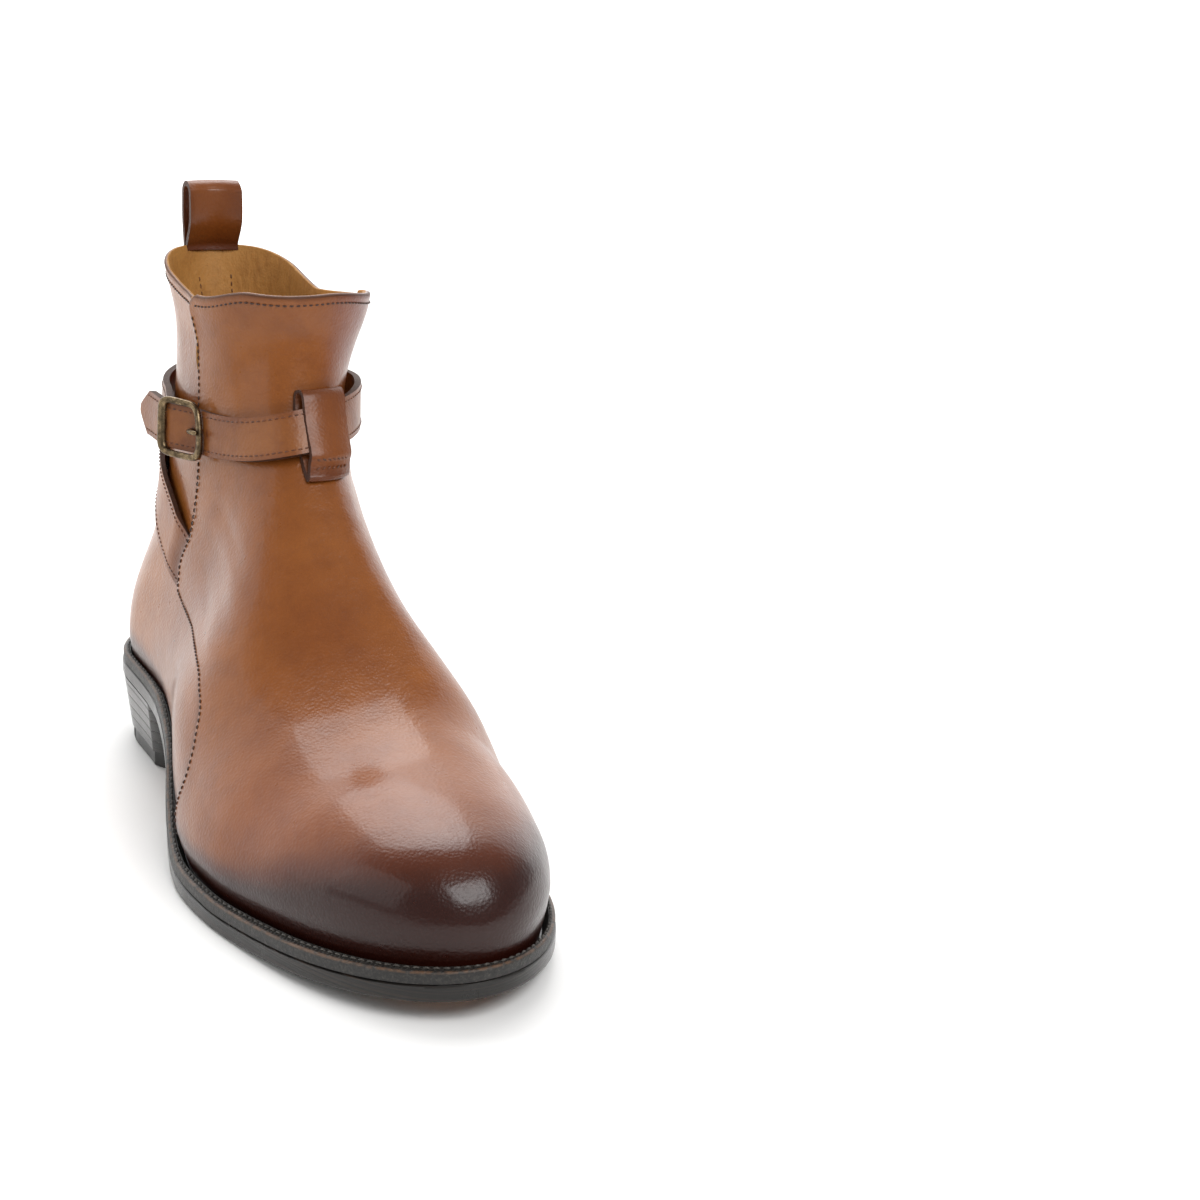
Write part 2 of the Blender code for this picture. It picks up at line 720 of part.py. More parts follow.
def strap_height(turn):
    """Height of the strap's middle: it hangs lower on the buckle's side and higher on the medial side."""
    return STRAP_HEIGHT + STRAP_TILT * np.sin(math.pi * turn)


def strap_line():
    """Dense turns round the shaft along the strap and the arc from the buckle's middle at each."""
    turns = BUCKLE_TURN + np.linspace(-0.4, 2.4, 1401)
    points = at_height(turns, strap_height(turns))
    arc = np.concatenate([[0], np.cumsum(np.linalg.norm(np.diff(points, axis=0), axis=1))])
    return turns, arc - np.interp(BUCKLE_TURN, turns, arc)


STRAP_TURNS, STRAP_ARC = strap_line()
ROUND = float(np.interp(BUCKLE_TURN + 2, STRAP_TURNS, STRAP_ARC))
KEEPER_ARC = float(np.interp(KEEPER_TURN, STRAP_TURNS, STRAP_ARC))


def vamp_lift(turn):
    """How far the raised vamp stands out there, easing off behind its side seams."""
    turn = np.abs((turn + 1) % 2 - 1)
    return VAMP_STEP * ease(0.50 + SEAM_EASE, 0.50, turn)


def on_shaft(middle, across, z, lift):
    """The point lift off the upper, at a height, across its surface from the turn of a middle line."""
    z, lift = np.broadcast_arrays(z, lift)
    ends = [at_height(t, z) + lift[..., None] * outward(t, z) for t in (middle - 0.02, middle + 0.02)]
    reach = np.linalg.norm(ends[1] - ends[0], axis=-1) / 0.04
    turn = middle + across / reach
    return at_height(turn, z) + (lift + vamp_lift(turn))[..., None] * outward(turn, z)


def buckle_rise(arc):
    """How far the buckle stands off behind its front bar, because it is flat and the shaft is round."""
    arc = np.where(arc > ROUND / 2, arc - ROUND, arc)
    flat = BUCKLE_FLAT * np.clip((BUCKLE_END - arc) / (2 * BUCKLE_END), 0, 1) ** 2
    fall = BUCKLE_FLAT * ease(-BUCKLE_END - BUCKLE_FALL, -BUCKLE_END, arc)
    return np.where(arc > -BUCKLE_END, flat, fall)


def strap_space(arc, up, lift):
    """The point up the strap's width and lift off the chord of the surface behind the strap."""
    arc, up, lift = np.broadcast_arrays(np.asarray(arc, float), up, lift)
    turn = np.interp(arc, STRAP_ARC, STRAP_TURNS)
    level = strap_height(turn)
    low = at_height(turn, level - STRAP_WIDTH / 2)
    high = at_height(turn, level + STRAP_WIDTH / 2)
    middle = at_height(turn, level)
    width = unit(high - low)
    normal = outward(turn, level)
    normal = unit(normal - (normal * width).sum(-1, keepdims=True) * width)
    bow = np.maximum(((middle - (low + high) / 2) * normal).sum(-1), 0)
    lift = lift + bow + vamp_lift(turn) + buckle_rise(arc)
    return (low + high) / 2 + up[..., None] * width + lift[..., None] * normal


def section(half_width, half_thick, bevel):
    """Corners (across, out) of a flat bar with bevelled edges."""
    a, b, e = half_width, half_thick, bevel
    return ((-a, b - e), (e - a, b), (a - e, b), (a, b - e), (a, e - b), (a - e, -b), (e - a, -b), (-a, e - b))


def band(name, rings, look, closed=False):
    """A solid through rings of equal count, as a ring or with its two ends filled."""
    count = len(rings[0])
    faces = ring_faces(len(rings), count, closed_rings=closed)
    if not closed:
        faces.append(tuple(range(count)))
        faces.append(tuple(range((len(rings) - 1) * count, len(rings) * count))[::-1])
    return mesh_object(name, np.array(rings).reshape(-1, 3), faces, *look)


LEATHER = (0.42, 0.17, 0.055), 0.4
BRASS = (0.24, 0.15, 0.07), 0.3, 1.0

# Lifts of the buckle's layers: the anchored end of the strap, then the frame, then the free end.
BUCKLE_END = BUCKLE_LENGTH / 2 - BUCKLE_BAR / 2
INNER_LIFT = GAP + STRAP_THICK / 2
FRAME_LIFT = INNER_LIFT + STRAP_THICK / 2 + GAP + BUCKLE_BAR / 2
FREE_LIFT = FRAME_LIFT + BUCKLE_BAR / 2 + GAP + STRAP_THICK / 2
KEEPER_SEAT = 2 * GAP
KEEPER_LIFT = KEEPER_SEAT + KEEPER_LEATHER + GAP + STRAP_THICK / 2


def strap_lift(arc):
    """Lift of the strap's middle, from its free tip round to its anchored end under the buckle."""
    side = INNER_LIFT + STRAP_STAND_OFF
    anchored = ROUND - BUCKLE_END
    stops = (
        (-BUCKLE_END - STRAP_TIP, FREE_LIFT + TIP_STAND_OFF),
        (BUCKLE_BAR - BUCKLE_END, FREE_LIFT),
        (BUCKLE_END - BUCKLE_BAR, INNER_LIFT),
        (BUCKLE_END + BUCKLE_BAR, INNER_LIFT),
        (KEEPER_ARC - KEEPER_WIDTH / 2, KEEPER_LIFT),
        (KEEPER_ARC + KEEPER_WIDTH / 2, KEEPER_LIFT),
        (KEEPER_ARC + 0.25 * ROUND, side),
        (anchored - 0.15 * ROUND, side),
        (anchored - STRAP_TIP / 3, INNER_LIFT),
        (anchored + BUCKLE_BAR, INNER_LIFT),
    )
    arcs, lifts = np.array(stops).T
    return np.interp(arc, arcs, lifts)


def ankle_strap():
    """A belt round the shaft, through the keeper and the buckle, with a pointed free end."""
    tip = -BUCKLE_END - STRAP_TIP
    point = STRAP_WIDTH * 0.45
    arcs = np.concatenate([tip + point * np.array([0.0, 0.25, 0.55]),
                           np.linspace(tip + point, ROUND - BUCKLE_END + BUCKLE_BAR / 2, 66)])
    rings = []
    for arc in arcs:
        half = STRAP_WIDTH / 2 * (0.16 + 0.84 * min((arc - tip) / point, 1))
        corners = section(half, STRAP_THICK / 2, STRAP_THICK * 0.18)
        up, out = np.array(corners).T
        rings.append(strap_space(arc, up, strap_lift(arc) + out))
    strap = band("ankle_strap", rings, LEATHER)
    half = PRONG_THICK / 2 + GAP
    corners = [strap_space(arc, up, lift) for arc, up, lift in (
        (HOLE_FROM, -half, 0.0), (HOLE_TO, -half, 0.0), (HOLE_TO, half, 0.0), (HOLE_FROM, half, 0.0),
        (HOLE_FROM, -half, FREE_LIFT * 2), (HOLE_TO, -half, FREE_LIFT * 2), (HOLE_TO, half, FREE_LIFT * 2),
        (HOLE_FROM, half, FREE_LIFT * 2))]
    faces = [(0, 1, 2, 3), (4, 5, 6, 7), (0, 1, 5, 4), (1, 2, 6, 5), (2, 3, 7, 6), (3, 0, 4, 7)]
    cutter = mesh_object("prong_hole", corners, faces, *LEATHER)
    cutter.hide_render = True
    cutter.display_type = "WIRE"
    cut = strap.modifiers.new("prong_hole", "BOOLEAN")
    cut.object = cutter
    cut.operation = "DIFFERENCE"


def buckle_frame():
    """A rectangular frame with round corners, curved with the shaft."""
    along = BUCKLE_END
    high = STRAP_WIDTH / 2 + BUCKLE_ROOM + BUCKLE_BAR / 2
    radius = BUCKLE_BAR * 1.2
    path = []
    for corner in range(4):
        sx = (1, -1, -1, 1)[corner]
        sy = (1, 1, -1, -1)[corner]
        for step in range(4):
            turn = math.pi / 2 * (corner + step / 3)
            path.append((sx * (along - radius) + radius * math.cos(turn), sy * (high - radius)
                         + radius * math.sin(turn)))
        if corner in (0, 2):
            path.extend([(sx * (along - radius) * (1 - 2 * k / 3), sy * high) for k in (1, 2)])
    path = np.array(path)
    tangent = unit(np.roll(path, -1, 0) - np.roll(path, 1, 0))
    rings = []
    for (arc, up), (ta, tu) in zip(path, tangent):
        across, out = np.array(section(BUCKLE_BAR / 2, BUCKLE_BAR / 2, BUCKLE_BAR * 0.28)).T
        rings.append(strap_space(arc + across * tu, up - across * ta, FRAME_LIFT + out))
    band("buckle_frame", rings, BRASS, closed=True)


def buckle_prong():
    """A pin from the frame's rear bar, through the strap's hole, to rest on the front bar."""
    rest = FRAME_LIFT + BUCKLE_BAR / 2 + GAP + PRONG_THICK / 2
    path = (
        (-BUCKLE_END + BUCKLE_BAR / 2 + GAP, FRAME_LIFT - BUCKLE_BAR * 0.3),
        (-BUCKLE_END * 0.55, FRAME_LIFT - BUCKLE_BAR * 0.55),
        (-BUCKLE_END * 0.27, FRAME_LIFT - BUCKLE_BAR * 0.2),
        (BUCKLE_END * 0.02, rest - PRONG_THICK * 0.45),
        (BUCKLE_END * 0.35, rest + GAP),
        (BUCKLE_END * 0.95, rest),
        (BUCKLE_END + BUCKLE_BAR * 0.6, rest - GAP),
    )
    path = np.array(path)
    tangent = unit(np.gradient(path, axis=0))
    rings = []
    for (arc, lift), (ta, tl) in zip(path, tangent):
        up, out = np.array(section(PRONG_THICK / 2, PRONG_THICK / 2, PRONG_THICK * 0.3)).T
        rings.append(strap_space(arc - out * tl, up, lift + out * ta))
    band("buckle_prong", rings, BRASS)


def folded_band(name, path, half_thick, middle, across, closed, base_z):
    """Leather folded along a path of (height, lift), with its width across the shaft's surface."""
    path = np.array(path)
    if closed:
        tangent = unit(np.roll(path, -1, 0) - np.roll(path, 1, 0))
    else:
        tangent = unit(np.gradient(path, axis=0))
    side = np.column_stack([-tangent[:, 1], tangent[:, 0]]) * half_thick
    faces_out, faces_in = path + side, path - side
    count = len(path)
    points = []
    for place in across:
        for line in (faces_out, faces_in):
            points.append(on_shaft(middle, place, base_z + line[:, 0], line[:, 1]))
    points = np.concatenate(points)
    faces = []
    steps = count if closed else count - 1
    for j in range(len(across) - 1):
        a, b = 2 * j * count, 2 * (j + 1) * count
        for k in range(steps):
            n = (k + 1) % count
            faces.append((a + k, a + n, b + n, b + k))
            faces.append((a + count + n, a + count + k, b + count + k, b + count + n))
        if not closed:
            faces.append((a, b, b + count, a + count))
            faces.append((a + count - 1, a + 2 * count - 1, b + 2 * count - 1, b + count - 1))
    for a, flip in ((0, False), (2 * (len(across) - 1) * count, True)):
        for k in range(steps):
            n = (k + 1) % count
            quad = (a + k, a + count + k, a + count + n, a + n)
            faces.append(quad[::-1] if flip else quad)
    return mesh_object(name, points, faces, *LEATHER)


def strap_keeper():
    """A flat loop of leather on the shaft's front, round the strap."""
    half = KEEPER_LEATHER / 2
    back = KEEPER_SEAT + half
    front = KEEPER_LIFT + STRAP_THICK / 2 + 2 * GAP + half
    bow = KEEPER_BOW
    edge = STRAP_WIDTH / 2
    top = KEEPER_TOP
    bottom = KEEPER_HEIGHT - KEEPER_TOP
    path = (
        (-bottom, back), (-edge, back), (0.0, back), (edge, back), (top - 2 * half, back + GAP),
        (top - half, (2 * back + front) / 3), (top - 1.5 * half, (back + 3 * front) / 4),
        (edge + half, front + 0.3 * bow), (0.0, front + bow), (-edge - half, front + 0.3 * bow),
        (-(edge + bottom) / 2, (back + front) / 2 + 2 * half), (-bottom + half, back + 2.7 * half),
        (-bottom - 0.6 * half, back + 1.5 * half),
    )
    across = KEEPER_WIDTH * np.linspace(-0.5, 0.5, 6)
    folded_band("strap_keeper", path[::-1], half, KEEPER_TURN, across, True, strap_height(KEEPER_TURN))


def pull_loop():
    """A strip folded over the back of the collar: one leg outside it and one inside."""
    half = LOOP_LEATHER / 2
    out = 1.5 * GAP + half
    into = -WALL - 2 * GAP - half
    middle = (out + into) / 2
    top = LOOP_RISE - (out - into) / 2
    path = [(-LOOP_LEG, out), (-LOOP_LEG / 2, out), (0.0, out), (top / 2, out + LOOP_BOW)]
    for step in range(7):
        turn = math.pi * step / 6
        reach = (out - into) / 2 + LOOP_BOW
        path.append((top + reach * math.sin(turn), middle + reach * math.cos(turn)))
    path += [(top / 2, into - LOOP_BOW), (0.0, into), (-LOOP_LEG / 2, into),
             (-LOOP_LEG * 0.8, into)]
    across = LOOP_WIDTH * np.linspace(-0.5, 0.5, 7)
    folded_band("pull_loop", path, half, 1.0, across, False, COLLAR_HEIGHT)


def sling():
    """A thick band from one vamp seam round the back of the heel to the other, under the strap."""
    turns = np.linspace(-0.5 - SLING_CLEAR, -1.5 + SLING_CLEAR, 29)
    rings = []
    for turn in turns:
        back = 1 - abs(abs(turn) - 1) * 2
        low = COLLAR_HEIGHT * smooth(SLING["back"], SLING["low"], back)
        high = COLLAR_HEIGHT * smooth(SLING["back"], SLING["high"], back)
        stand = SLING_STAND_OFF * math.sin(math.pi * min(max(back, 0), 1) ** 0.6) + GAP
        stand = stand + 0.4 * SLING_STAND_OFF * max(back, 0)
        height = (low + high) / 2
        half = (high - low) / 2
        ring = []
        for up, out in section(half, SLING_THICK / 2, SLING_THICK * 0.2):
            z = height + up
            lean = GAP + (stand - GAP) * (up / half + 1) / 2
            lean = lean + vamp_lift(np.array(turn))
            point = at_height(turn, z) + (lean + SLING_THICK / 2 + out) * outward(turn, z)
            ring.append(point)
        rings.append(ring)
    band("sling", rings, LEATHER)


def set_origin():
    """Moves every mesh so that the origin lies under the middle of the boot's box."""
    solids = [part for part in bpy.data.objects if part.type == "MESH"]
    corners = np.array([v.co for part in solids if not part.hide_render for v in part.data.vertices])
    low, high = corners.min(0), corners.max(0)
    shift = Matrix.Translation((-(low[0] + high[0]) / 2, -(low[1] + high[1]) / 2, -low[2]))
    for part in solids:
        part.data.transform(shift)


def main():
    for part in list(bpy.data.objects):
        bpy.data.objects.remove(part, do_unlink=True)
    outsole()
    welt()
    insole()
    upper()
    heel_stack()
    top_piece("heel_top_piece", False, (0.36, 0.17, 0.10), 0.5)
    top_piece("heel_rubber", True, (0.012, 0.012, 0.012), 0.6)
    ankle_strap()
    buckle_frame()
    buckle_prong()
    strap_keeper()
    pull_loop()
    sling()
    set_origin()


main()
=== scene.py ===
"""Jodhpur boot for the right foot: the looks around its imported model. Metres, +Z up, toe along -Y.

The first half repeats the boot's own sizes and form. The second half makes each piece of leather, thread
and brass from that form as grids of points, with procedural materials, and sets the camera and lights.
"""

import math

import bmesh
import bpy
import numpy as np
from mathutils import Matrix, Vector


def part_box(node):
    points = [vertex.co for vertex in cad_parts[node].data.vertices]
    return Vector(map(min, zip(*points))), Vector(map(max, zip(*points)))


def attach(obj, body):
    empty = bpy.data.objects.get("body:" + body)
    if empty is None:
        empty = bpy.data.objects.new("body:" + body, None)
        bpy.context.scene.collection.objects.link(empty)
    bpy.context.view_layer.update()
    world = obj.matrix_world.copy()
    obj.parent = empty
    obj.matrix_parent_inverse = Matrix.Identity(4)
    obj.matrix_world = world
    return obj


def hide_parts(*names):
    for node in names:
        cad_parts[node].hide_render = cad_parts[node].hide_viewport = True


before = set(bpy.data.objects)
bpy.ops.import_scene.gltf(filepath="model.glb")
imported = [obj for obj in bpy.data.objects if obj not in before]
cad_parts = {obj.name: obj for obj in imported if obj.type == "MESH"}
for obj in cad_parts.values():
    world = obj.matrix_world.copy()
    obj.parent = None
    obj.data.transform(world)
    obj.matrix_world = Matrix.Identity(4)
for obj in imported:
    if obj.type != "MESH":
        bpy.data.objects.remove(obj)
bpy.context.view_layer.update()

# Sole and heel
SOLE_LENGTH = 0.306
BALL_WIDTH = 0.112
HEEL_HEIGHT = 0.0270
HEEL_TAPER = 0.0032
HEEL_BREAST_HOLLOW = 0.0045
HEEL_CORNER = 0.0050
BREAST_PLACE = 0.245
SEAT_END = 0.28
SEAT_SLOPE = 0.125
TOP_PIECE_THICK = 0.0060
SPLIT_PLACE = 0.105
SPLIT_SLANT = 0.16
TOE_SPRING = 0.0080
OUTSOLE_THICK = 0.0055
WELT_THICK = 0.0040
WELT_REACH_TOE = 0.0060
WELT_REACH_WAIST = 0.0048
WELT_REACH_HEEL = 0.0040
EDGE_ROUND = 0.0009

# Upper
COLLAR_HEIGHT = 0.1900
FLAP_CORNER_LATERAL = 0.0125
FLAP_CORNER_MEDIAL = 0.0060
QUARTER_DROP = 0.0070
FLAP_FLARE = 0.0165
WALL = 0.0018
VAMP_STEP = 0.0012
BACK_LAG = 2.2
SEAM_EASE = 0.06
SHAFT_WIDTH = 0.0760
INSTEP_DEPTH = 0.0580
BACK_DEPTH = 0.0450
FEATHER_BULGE = 0.0024
WIDEST_RISE = 0.0130
OVERHANG_RISE = 0.0230

# Strap work and buckle
STRAP_WIDTH = 0.0178
STRAP_THICK = 0.0024
STRAP_HEIGHT = 0.1395
STRAP_TILT = 0.0050
STRAP_TIP = 0.0240
SLING_THICK = 0.0018
SLING_STAND_OFF = 0.0016
KEEPER_WIDTH = 0.0195
KEEPER_HEIGHT = 0.0290
KEEPER_LEATHER = 0.0016
BUCKLE_LENGTH = 0.0190
BUCKLE_BAR = 0.0024
PRONG_THICK = 0.0018
TIP_STAND_OFF = 0.0090
BUCKLE_FLAT = 0.0050
BUCKLE_FALL = 0.0280
STRAP_STAND_OFF = 0.0022
BUCKLE_TURN = -0.50
KEEPER_TURN = 0.07
KEEPER_TOP = 0.0135
KEEPER_BOW = 0.0014
LOOP_WIDTH = 0.0205
LOOP_RISE = 0.0225
LOOP_LEG = 0.0160
LOOP_LEATHER = 0.0020
LOOP_BOW = 0.0017

# Where one form of the upper passes into the next, as (from, to): heights as shares of COLLAR_HEIGHT,
# places as shares of SOLE_LENGTH, and turns round the collar
ANKLE_HEIGHTS = 0.22, 0.46
ANKLE_PLACES = 0.58, 0.34
SHAFT_HEIGHTS = 0.60, 0.76
INSTEP_PLACES = 0.64, 0.50
FLARE_HEIGHTS = 0.74, 1.0
FLARE_PLACES = -0.035, 0.010
FLARE_LATERAL = 0.1
LATERAL_CORNER_TURNS = 0.28, 0.52
MEDIAL_CORNER_TURNS = 0.10, 0.52
QUARTER_TURNS = 0.50, 0.86
COLLAR_LEVELS = 0.82, 1.0
BENT_LEVELS = 0.0, 0.6
STEP_LEVELS = 0.0, 0.10

# Clearance between pieces that touch
GAP = 0.0003
SEAT_GAP = 0.0005

LATERAL = -1
MEDIAL = 1

SOLE_STATIONS = 40


def table(names, *rows):
    """The rows' columns as arrays, by name."""
    return dict(zip(names.split(), np.array(rows, float).T))


# Outsole outline: place from heel to toe as a share of SOLE_LENGTH, half-widths as shares of BALL_WIDTH.
OUTLINE = table(
    "place lateral medial",
    (0.00, 0.325, 0.335),
    (0.12, 0.325, 0.335),
    (0.25, 0.330, 0.300),
    (0.37, 0.375, 0.250),
    (0.48, 0.455, 0.275),
    (0.58, 0.510, 0.410),
    (0.68, 0.512, 0.487),
    (0.78, 0.495, 0.515),
    (0.89, 0.492, 0.528),
    (1.00, 0.492, 0.528),
)
HEEL_CAP = 0.125
TOE_CAP = 0.392

# How far the upper bulges out past the outsole's waist, as shares of BALL_WIDTH.
OVERHANG = table(
    "place lateral medial",
    (0.22, 0.000, 0.000),
    (0.37, 0.000, 0.105),
    (0.48, 0.000, 0.130),
    (0.58, 0.000, 0.065),
    (0.70, 0.000, 0.000),
)

# Underside of the outsole: rise as a share of HEEL_HEIGHT behind the ball, and of TOE_SPRING before it.
ARCH = table(
    "place heel spring",
    (0.00, 1.000, 0.000),
    (0.28, 0.965, 0.000),
    (0.36, 0.760, 0.000),
    (0.46, 0.350, 0.000),
    (0.55, 0.060, 0.000),
    (0.60, 0.000, 0.000),
    (0.70, 0.000, 0.000),
    (0.80, 0.000, 0.200),
    (0.90, 0.000, 0.550),
    (1.00, 0.000, 1.000),
)

# Ridge of the side view from the toe to the flap's top: place behind the toe as a share of SOLE_LENGTH,
# height over the outsole as a share of COLLAR_HEIGHT.
RIDGE = table(
    "behind rise",
    (0.000, 0.000),
    (0.000, 0.068),
    (0.008, 0.110),
    (0.026, 0.150),
    (0.058, 0.187),
    (0.110, 0.217),
    (0.180, 0.250),
    (0.280, 0.297),
    (0.380, 0.382),
    (0.470, 0.478),
    (0.550, 0.556),
    (0.592, 0.618),
    (0.610, 0.695),
    (0.618, 0.772),
    (0.612, 0.846),
)

# Back of the side view: height as a share of COLLAR_HEIGHT, distance before the sole's end as a share
# of SOLE_LENGTH, depth of the rounding and half-width there as shares of BACK_DEPTH and SHAFT_WIDTH, and
# how far the shaft leans towards the medial side, as a share of SHAFT_WIDTH.
BACK = table(
    "height inset depth half lean",
    (0.15, 0.0135, 0.85, 0.440, 0.010),
    (0.26, 0.0085, 0.92, 0.445, 0.025),
    (0.37, 0.0110, 1.00, 0.422, 0.050),
    (0.47, 0.0230, 1.05, 0.402, 0.070),
    (0.58, 0.0380, 1.08, 0.380, 0.088),
    (0.70, 0.0480, 1.06, 0.368, 0.095),
    (0.80, 0.0490, 0.98, 0.345, 0.100),
    (0.90, 0.0400, 0.86, 0.322, 0.095),
    (1.00, 0.0260, 0.74, 0.335, 0.080),
)

# Ridge line in plan: place as a share of SOLE_LENGTH, shift to the medial side as a share of BALL_WIDTH,
# and the powers of the cross-section's dome there.
CREST = table(
    "place shift lateral medial",
    (0.00, 0.010, 1.75, 2.80),
    (0.16, 0.020, 1.75, 2.80),
    (0.40, 0.105, 1.75, 2.80),
    (0.55, 0.110, 1.80, 2.80),
    (0.70, 0.080, 2.00, 2.25),
    (0.85, 0.045, 2.30, 2.25),
    (1.00, 0.030, 2.40, 2.40),
)

# Side seams of the vamp: height as a share of COLLAR_HEIGHT, place from the sole's heel end as a share
# of SOLE_LENGTH.
SEAM = table(
    "height lateral medial",
    (0.12, 0.540, 0.520),
    (0.20, 0.558, 0.535),
    (0.26, 0.545, 0.525),
    (0.32, 0.512, 0.495),
    (0.355, 0.462, 0.445),
    (0.375, 0.380, 0.370),
    (0.39, 0.305, 0.310),
    (0.42, 0.273, 0.285),
    (0.51, 0.283, 0.288),
    (0.60, 0.279, 0.282),
    (0.70, 0.268, 0.272),
    (0.85, 0.250, 0.252),
    (1.00, 0.238, 0.246),
)

# The sling, from the vamp seam (0) to the middle of the back (1): its edges as shares of COLLAR_HEIGHT.
SLING = table(
    "back low high",
    (0.00, 0.400, 0.500),
    (0.20, 0.445, 0.565),
    (0.40, 0.500, 0.615),
    (0.70, 0.540, 0.645),
    (1.00, 0.550, 0.650),
)

TOE_Y = -SOLE_LENGTH / 2
HEEL_Y = SOLE_LENGTH / 2


def smooth(xs, ys, x):
    """Cubic through a table's points, level past its ends, with slopes from the neighbours."""
    x = np.clip(x, xs[0], xs[-1])
    slopes = np.gradient(ys, xs)
    i = np.clip(np.searchsorted(xs, x) - 1, 0, len(xs) - 2)
    step = xs[i + 1] - xs[i]
    t = (x - xs[i]) / step
    rise = ys[i + 1] - ys[i]
    start = step * slopes[i]
    end = step * slopes[i + 1]
    return ys[i] + t * (start + t * (3 * rise - 2 * start - end + t * (start + end - 2 * rise)))


def ease(low, high, x):
    """0 on low's side and 1 on high's side, with level ends."""
    t = np.clip((x - low) / (high - low), 0, 1)
    return t * t * (3 - 2 * t)


def cap(distance, depth):
    """0 at an edge and 1 from depth on, round between."""
    q = np.clip(1 - distance / depth, 0, 1)
    return np.sqrt(1 - q**2)


def side_value(rows, key, side, at):
    """A table's value on one side of the boot."""
    return smooth(rows[key], rows["lateral" if side == LATERAL else "medial"], at)


def wrapped(turn):
    """The same turn between -1 and 1."""
    return (turn + 1) % 2 - 1


def run_length(points):
    """Length along a line of points, from 0 at its first."""
    return np.concatenate([[0], np.cumsum(np.linalg.norm(np.diff(points, axis=0), axis=1))])


def place_of(y):
    """Share of SOLE_LENGTH from the heel's end."""
    return (HEEL_Y - y) / SOLE_LENGTH


def outline_half(side, place):
    """Half-width of the outsole before its ends are rounded."""
    return BALL_WIDTH * side_value(OUTLINE, "place", side, place)


def underside(y):
    """Height of the outsole's underside. It is 0 under the ball, so the boot rests flat there."""
    place = place_of(y)
    heel = HEEL_HEIGHT * smooth(ARCH["place"], ARCH["heel"], place)
    spring = TOE_SPRING * smooth(ARCH["place"], ARCH["spring"], place)
    seat = HEEL_HEIGHT * (1 - SEAT_SLOPE * place)
    flat = (place > 0.59) & (place < 0.705)
    arch = np.where(place < SEAT_END, seat, np.maximum(heel, 0) + np.maximum(spring, 0))
    return np.where(flat, 0.0, arch)


def welt_reach(place):
    """How far the welt stands out past the upper."""
    to_waist = ease(0.15, 0.35, place)
    to_toe = ease(0.40, 0.60, place)
    rear = WELT_REACH_HEEL + (WELT_REACH_WAIST - WELT_REACH_HEEL) * to_waist
    return rear + (WELT_REACH_TOE - WELT_REACH_WAIST) * to_toe


def sole_half(side, y, inset=0.0):
    """Half-width of the sole's outline, drawn in by inset on its sides and both ends."""
    place = place_of(y)
    heel = cap(HEEL_Y - inset - y, HEEL_CAP * SOLE_LENGTH)
    toe = cap(y - TOE_Y - inset, TOE_CAP * SOLE_LENGTH)
    return (outline_half(side, place) - inset) * heel * toe


def sole_loop(inset=0.0, stations=SOLE_STATIONS):
    """The outline as a closed loop of (x, y): lateral side from heel to toe, then the medial side back."""
    turn = np.linspace(0, math.pi, stations + 1)
    half = SOLE_LENGTH / 2 - inset
    y = half * np.cos(turn)
    lateral = np.stack([-sole_half(LATERAL, y, inset), y], 1)
    medial = np.stack([sole_half(MEDIAL, y, inset), y], 1)
    return np.concatenate([lateral, medial[-2:0:-1]])


def feather_top(y):
    """Where the upper starts: on the outsole, a clearance up."""
    return underside(y) + OUTSOLE_THICK + SEAT_GAP


FEATHER_TOE_Y = TOE_Y + WELT_REACH_TOE
RIDGE_Y = FEATHER_TOE_Y + RIDGE["behind"] * SOLE_LENGTH
RIDGE_Z = RIDGE["rise"] * COLLAR_HEIGHT + feather_top(RIDGE_Y)


def ridge_curve(count=160):
    """The ridge as (y, z) points, evenly spread over the table's rows."""
    rows = np.arange(len(RIDGE_Y), dtype=float)
    at = np.linspace(0, rows[-1], count)
    y = np.maximum(smooth(rows, RIDGE_Y, at), FEATHER_TOE_Y)
    z = np.maximum.accumulate(smooth(rows, RIDGE_Z, at) + 1e-6 * at)
    return y, z


RIDGE_CURVE = ridge_curve()
TOE_WALL_TOP = int(np.argmax(RIDGE_CURVE[0] > FEATHER_TOE_Y + 1e-6)) - 1
SHAFT_START = int(np.argmax(RIDGE_CURVE[0]))
VAMP_RIDGE = RIDGE_CURVE[0][TOE_WALL_TOP : SHAFT_START + 1], RIDGE_CURVE[1][TOE_WALL_TOP : SHAFT_START + 1]


def front_y(z):
    """The ridge's y at a height."""
    return np.interp(z, RIDGE_CURVE[1], RIDGE_CURVE[0])


def back_value(column, z):
    """A column of the back's table at a height."""
    return smooth(BACK["height"], BACK[column], z / COLLAR_HEIGHT)


def back_y(z):
    """The back's y at a height."""
    return HEEL_Y - SOLE_LENGTH * back_value("inset", z)


def ridge_distance(y, z):
    """Distance in the side view from a place to the ridge."""
    ry, rz = RIDGE_CURVE
    ay, az = ry[:-1], rz[:-1]
    by, bz = np.diff(ry), np.diff(rz)
    py = y[..., None] - ay
    pz = z[..., None] - az
    t = np.clip((py * by + pz * bz) / np.maximum(by**2 + bz**2, 1e-12), 0, 1)
    return np.sqrt(((py - t * by) ** 2 + (pz - t * bz) ** 2).min(-1))


def foot_half(side, y, z):
    """Half-width of the foot's part of the upper, before the dome: feather edge, then the widest line."""
    place = place_of(y)
    rise = z - feather_top(y)
    swell = 1 - (1 - np.clip(rise / WIDEST_RISE, 0, 1)) ** 2
    overhang = BALL_WIDTH * side_value(OVERHANG, "place", side, place)
    overhang = overhang * ease(WELT_THICK + EDGE_ROUND, OVERHANG_RISE, rise)
    return outline_half(side, place) - welt_reach(place) + FEATHER_BULGE * swell + overhang


